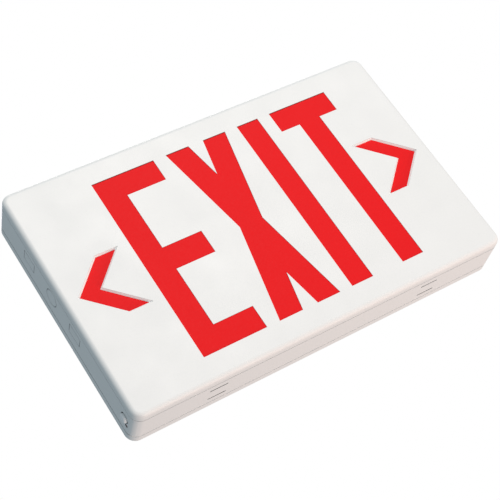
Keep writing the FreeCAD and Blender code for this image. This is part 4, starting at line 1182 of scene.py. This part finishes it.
@dataclass(frozen=True)
class StripDiodes(SubAssembly):
    """A strip's light-emitting diodes, each a moulded package with a sunk window and a small dome."""

    node: str
    facing: float
    rim: float = 0.35 * MM
    sunk: float = 0.25 * MM
    rounding: float = 0.12 * MM
    dome_steps: tuple[float, ...] = (0.4, 0.3, 0.1)

    def build(self) -> Pieces:
        """Builds every package of the strip.

        Returns:
            The packages.
        """
        shape = Shape()
        for low, high in solids(self.node):
            before = set(shape.mesh.faces)
            shape.block(low, high, self.rounding, 1, along=2)
            fresh = [face for face in shape.mesh.faces if face not in before]
            window = [max(fresh, key=lambda face: face.normal.z * self.facing)]
            shape.sink(window, self.rim, 0.0)
            shape.sink(window, self.rim / 4, self.sunk)
            for share in self.dome_steps:
                shape.sink(window, self.rim * 0.8, -self.sunk * share)
        return [shape.stand(f"{self.node}_packages", "diode_package", self.node)]


@dataclass(frozen=True)
class PinRow:
    """A row of leads through the charger board, centred under a part."""

    node: str
    count: int
    pitch: float = 2.54 * MM
    lift: float = 0.0


@dataclass(frozen=True)
class SolderJoints(SubAssembly):
    """The solder behind the charger board, a cone round each lead."""

    foot: float = 0.95 * MM
    rise: float = 1.25 * MM
    sunk: float = 0.1 * MM
    lead_in: float = 0.3 * MM
    rows: tuple[PinRow, ...] = (
        PinRow("reservoir_capacitor", 2, 5 * MM),
        PinRow("filter_capacitor", 2),
        PinRow("charging_transistor", 3),
        PinRow("supply_terminal_block", 3, 5 * MM),
        PinRow("battery_header", 2, 2.5 * MM),
        PinRow("lower_strip_header", 2, 2.5 * MM),
        PinRow("upper_strip_header", 2, 2.5 * MM),
        PinRow("test_header", 3, 2 * MM),
        PinRow("transfer_relay", 2, 12 * MM, 5 * MM),
        PinRow("transfer_relay", 3, 7 * MM, -5 * MM),
        PinRow("transformer_former", 3, 6 * MM, 5 * MM),
        PinRow("transformer_former", 3, 6 * MM, -5 * MM),
    )

    def leads(self) -> list[Span]:
        """Finds the leads.

        Returns:
            Each lead's place across and up the board.
        """
        spots = []
        for node in ("resistors", "rectifier_diodes"):
            for low, high in solids(node):
                level = (low.z + high.z) / 2
                spots += [(low.x + self.lead_in, level), (high.x - self.lead_in, level)]
        for row in self.rows:
            low, high = corners(row.node)
            for number in range(row.count):
                across = (low.x + high.x) / 2 + (number - (row.count - 1) / 2) * row.pitch
                spots.append((across, (low.z + high.z) / 2 + row.lift))
        return spots

    def build(self) -> Pieces:
        """Turns a cone at each lead.

        Returns:
            The joints.
        """
        behind, foot, rise = corners("charger_board")[1].y, self.foot, self.rise
        profile = (
            (-self.sunk, 0.0), (-self.sunk, foot), (0.0, foot), (0.2 * rise, 0.68 * foot),
            (0.5 * rise, 0.45 * foot), (0.85 * rise, 0.36 * foot), (rise, 0.2 * foot), (rise, 0.0),
        )
        shape = Shape()
        for across, up in self.leads():
            shape.turned(Vector((across, behind, up)), BEHIND, profile, 12)
        return [shape.stand("charger_board_solder", "plated_steel")]


SUB_ASSEMBLIES: tuple[SubAssembly, ...] = (
    HousingFrame(),
    ButtonSpring(),
    PanScrews("board_screws"),
    PanScrews("strap_screws"),
    ClampScrews(),
    PilotLamp(),
    TransferRelay(),
    Capacitor("reservoir_capacitor"),
    Capacitor("filter_capacitor", 0.25 * MM, 0.35 * MM),
    BatteryPack(),
    StripDiodes("upper_strip_diodes", -1.0),
    StripDiodes("lower_strip_diodes", 1.0),
    SolderJoints(),
)


# Stage, light and camera


@dataclass(frozen=True)
class Softbox:
    """A large soft light that faces the object."""

    name: str
    place: Point
    size: float
    power: float
    colour: Colour

    def hang(self) -> None:
        """Adds the light."""
        data = bpy.data.lights.new(self.name, "AREA")
        data.shape = "DISK"
        data.size = self.size
        data.energy = self.power
        data.color = self.colour
        lamp = add_object(self.name, data)
        lamp.location = self.place
        lamp.rotation_mode = "QUATERNION"
        lamp.rotation_quaternion = (-Vector(self.place)).to_track_quat("-Z", "Y")


@dataclass(frozen=True)
class Studio:
    """A pale floor, an even surround, three soft lights and the camera."""

    floor_level: float = -1.5
    floor_size: float = 12.0
    surround: Colour = (0.765, 0.905, 1.0)
    surround_light: float = 0.38
    lights: tuple[Softbox, ...] = (
        Softbox("key_light", (0.8, -2.5, 1.35), 1.6, 59.0, (1.0, 0.935, 0.885)),
        Softbox("low_fill", (0.38, -0.3, -1.4), 0.9, 15.6, (1.0, 0.755, 0.65)),
        Softbox("back_light", (0.9, 2.3, 1.5), 1.8, 60.0, (1.0, 0.98, 0.95)),
    )
    eye: Point = (-0.4017, -0.8068, -0.3738)
    right: Point = (0.83124, -0.16946, -0.52945)
    upward: Point = (0.37357, -0.53503, 0.75775)
    lens: float = 95.37
    sensor: float = 36.0
    nearest: float = 0.05
    farthest: float = 50.0

    def lay_floor(self) -> None:
        """Lays the floor, which isn't part of the object."""
        mesh = bpy.data.meshes.new("floor")
        shape = bmesh.new()
        bmesh.ops.create_grid(shape, x_segments=1, y_segments=1, size=self.floor_size / 2)
        bmesh.ops.translate(shape, verts=shape.verts, vec=(0.0, 0.0, self.floor_level))
        shape.to_mesh(mesh)
        shape.free()
        floor = add_object("floor", mesh)
        floor.data.materials.append(FloorPaint("floor_paint", (0.85, 0.85, 0.85), 0.8).make())
        floor.visible_diffuse = False
        floor.visible_glossy = False

    def light_surround(self) -> None:
        """Makes the surround white to look at, and dim and cool as a light."""
        world = bpy.data.worlds.new("surround")
        bpy.context.scene.world = world
        world.use_nodes = True
        tree = world.node_tree
        tree.nodes.clear()
        seen, cast = tree.nodes.new("ShaderNodeBackground"), tree.nodes.new("ShaderNodeBackground")
        seen.inputs["Color"].default_value = (1.0, 1.0, 1.0, 1.0)
        cast.inputs["Color"].default_value = (*self.surround, 1.0)
        cast.inputs["Strength"].default_value = self.surround_light
        path = tree.nodes.new("ShaderNodeLightPath")
        choice = tree.nodes.new("ShaderNodeMixShader")
        output = tree.nodes.new("ShaderNodeOutputWorld")
        for number, source in enumerate((path.outputs["Is Camera Ray"], cast.outputs[0], seen.outputs[0])):
            tree.links.new(source, choice.inputs[number])
        tree.links.new(choice.outputs[0], output.inputs["Surface"])

    def stand_camera(self) -> None:
        """Stands the camera and sets plain colour."""
        data = bpy.data.cameras.new("camera")
        data.lens = self.lens
        data.sensor_width = self.sensor
        data.clip_start = self.nearest
        data.clip_end = self.farthest
        camera = add_object("camera", data)
        right, upward = Vector(self.right).normalized(), Vector(self.upward).normalized()
        turn = Matrix((right, upward, right.cross(upward))).transposed()
        camera.matrix_world = Matrix.Translation(self.eye) @ turn.to_4x4()
        bpy.context.scene.camera = camera
        bpy.context.scene.view_settings.view_transform = "Standard"

    def set_up(self) -> None:
        """Sets up all of it."""
        self.lay_floor()
        self.light_surround()
        for light in self.lights:
            light.hang()
        self.stand_camera()


def main() -> None:
    """Dresses the object and sets up the studio."""
    logging.basicConfig(level=logging.INFO, format="%(message)s")
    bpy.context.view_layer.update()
    made = {finish.name: finish.make() for finish in FINISHES}
    dress_nodes(made)
    for assembly in SUB_ASSEMBLIES:
        assembly.dress(assembly.build(), made)
    Studio().set_up()


if __name__ == "__main__":
    main()
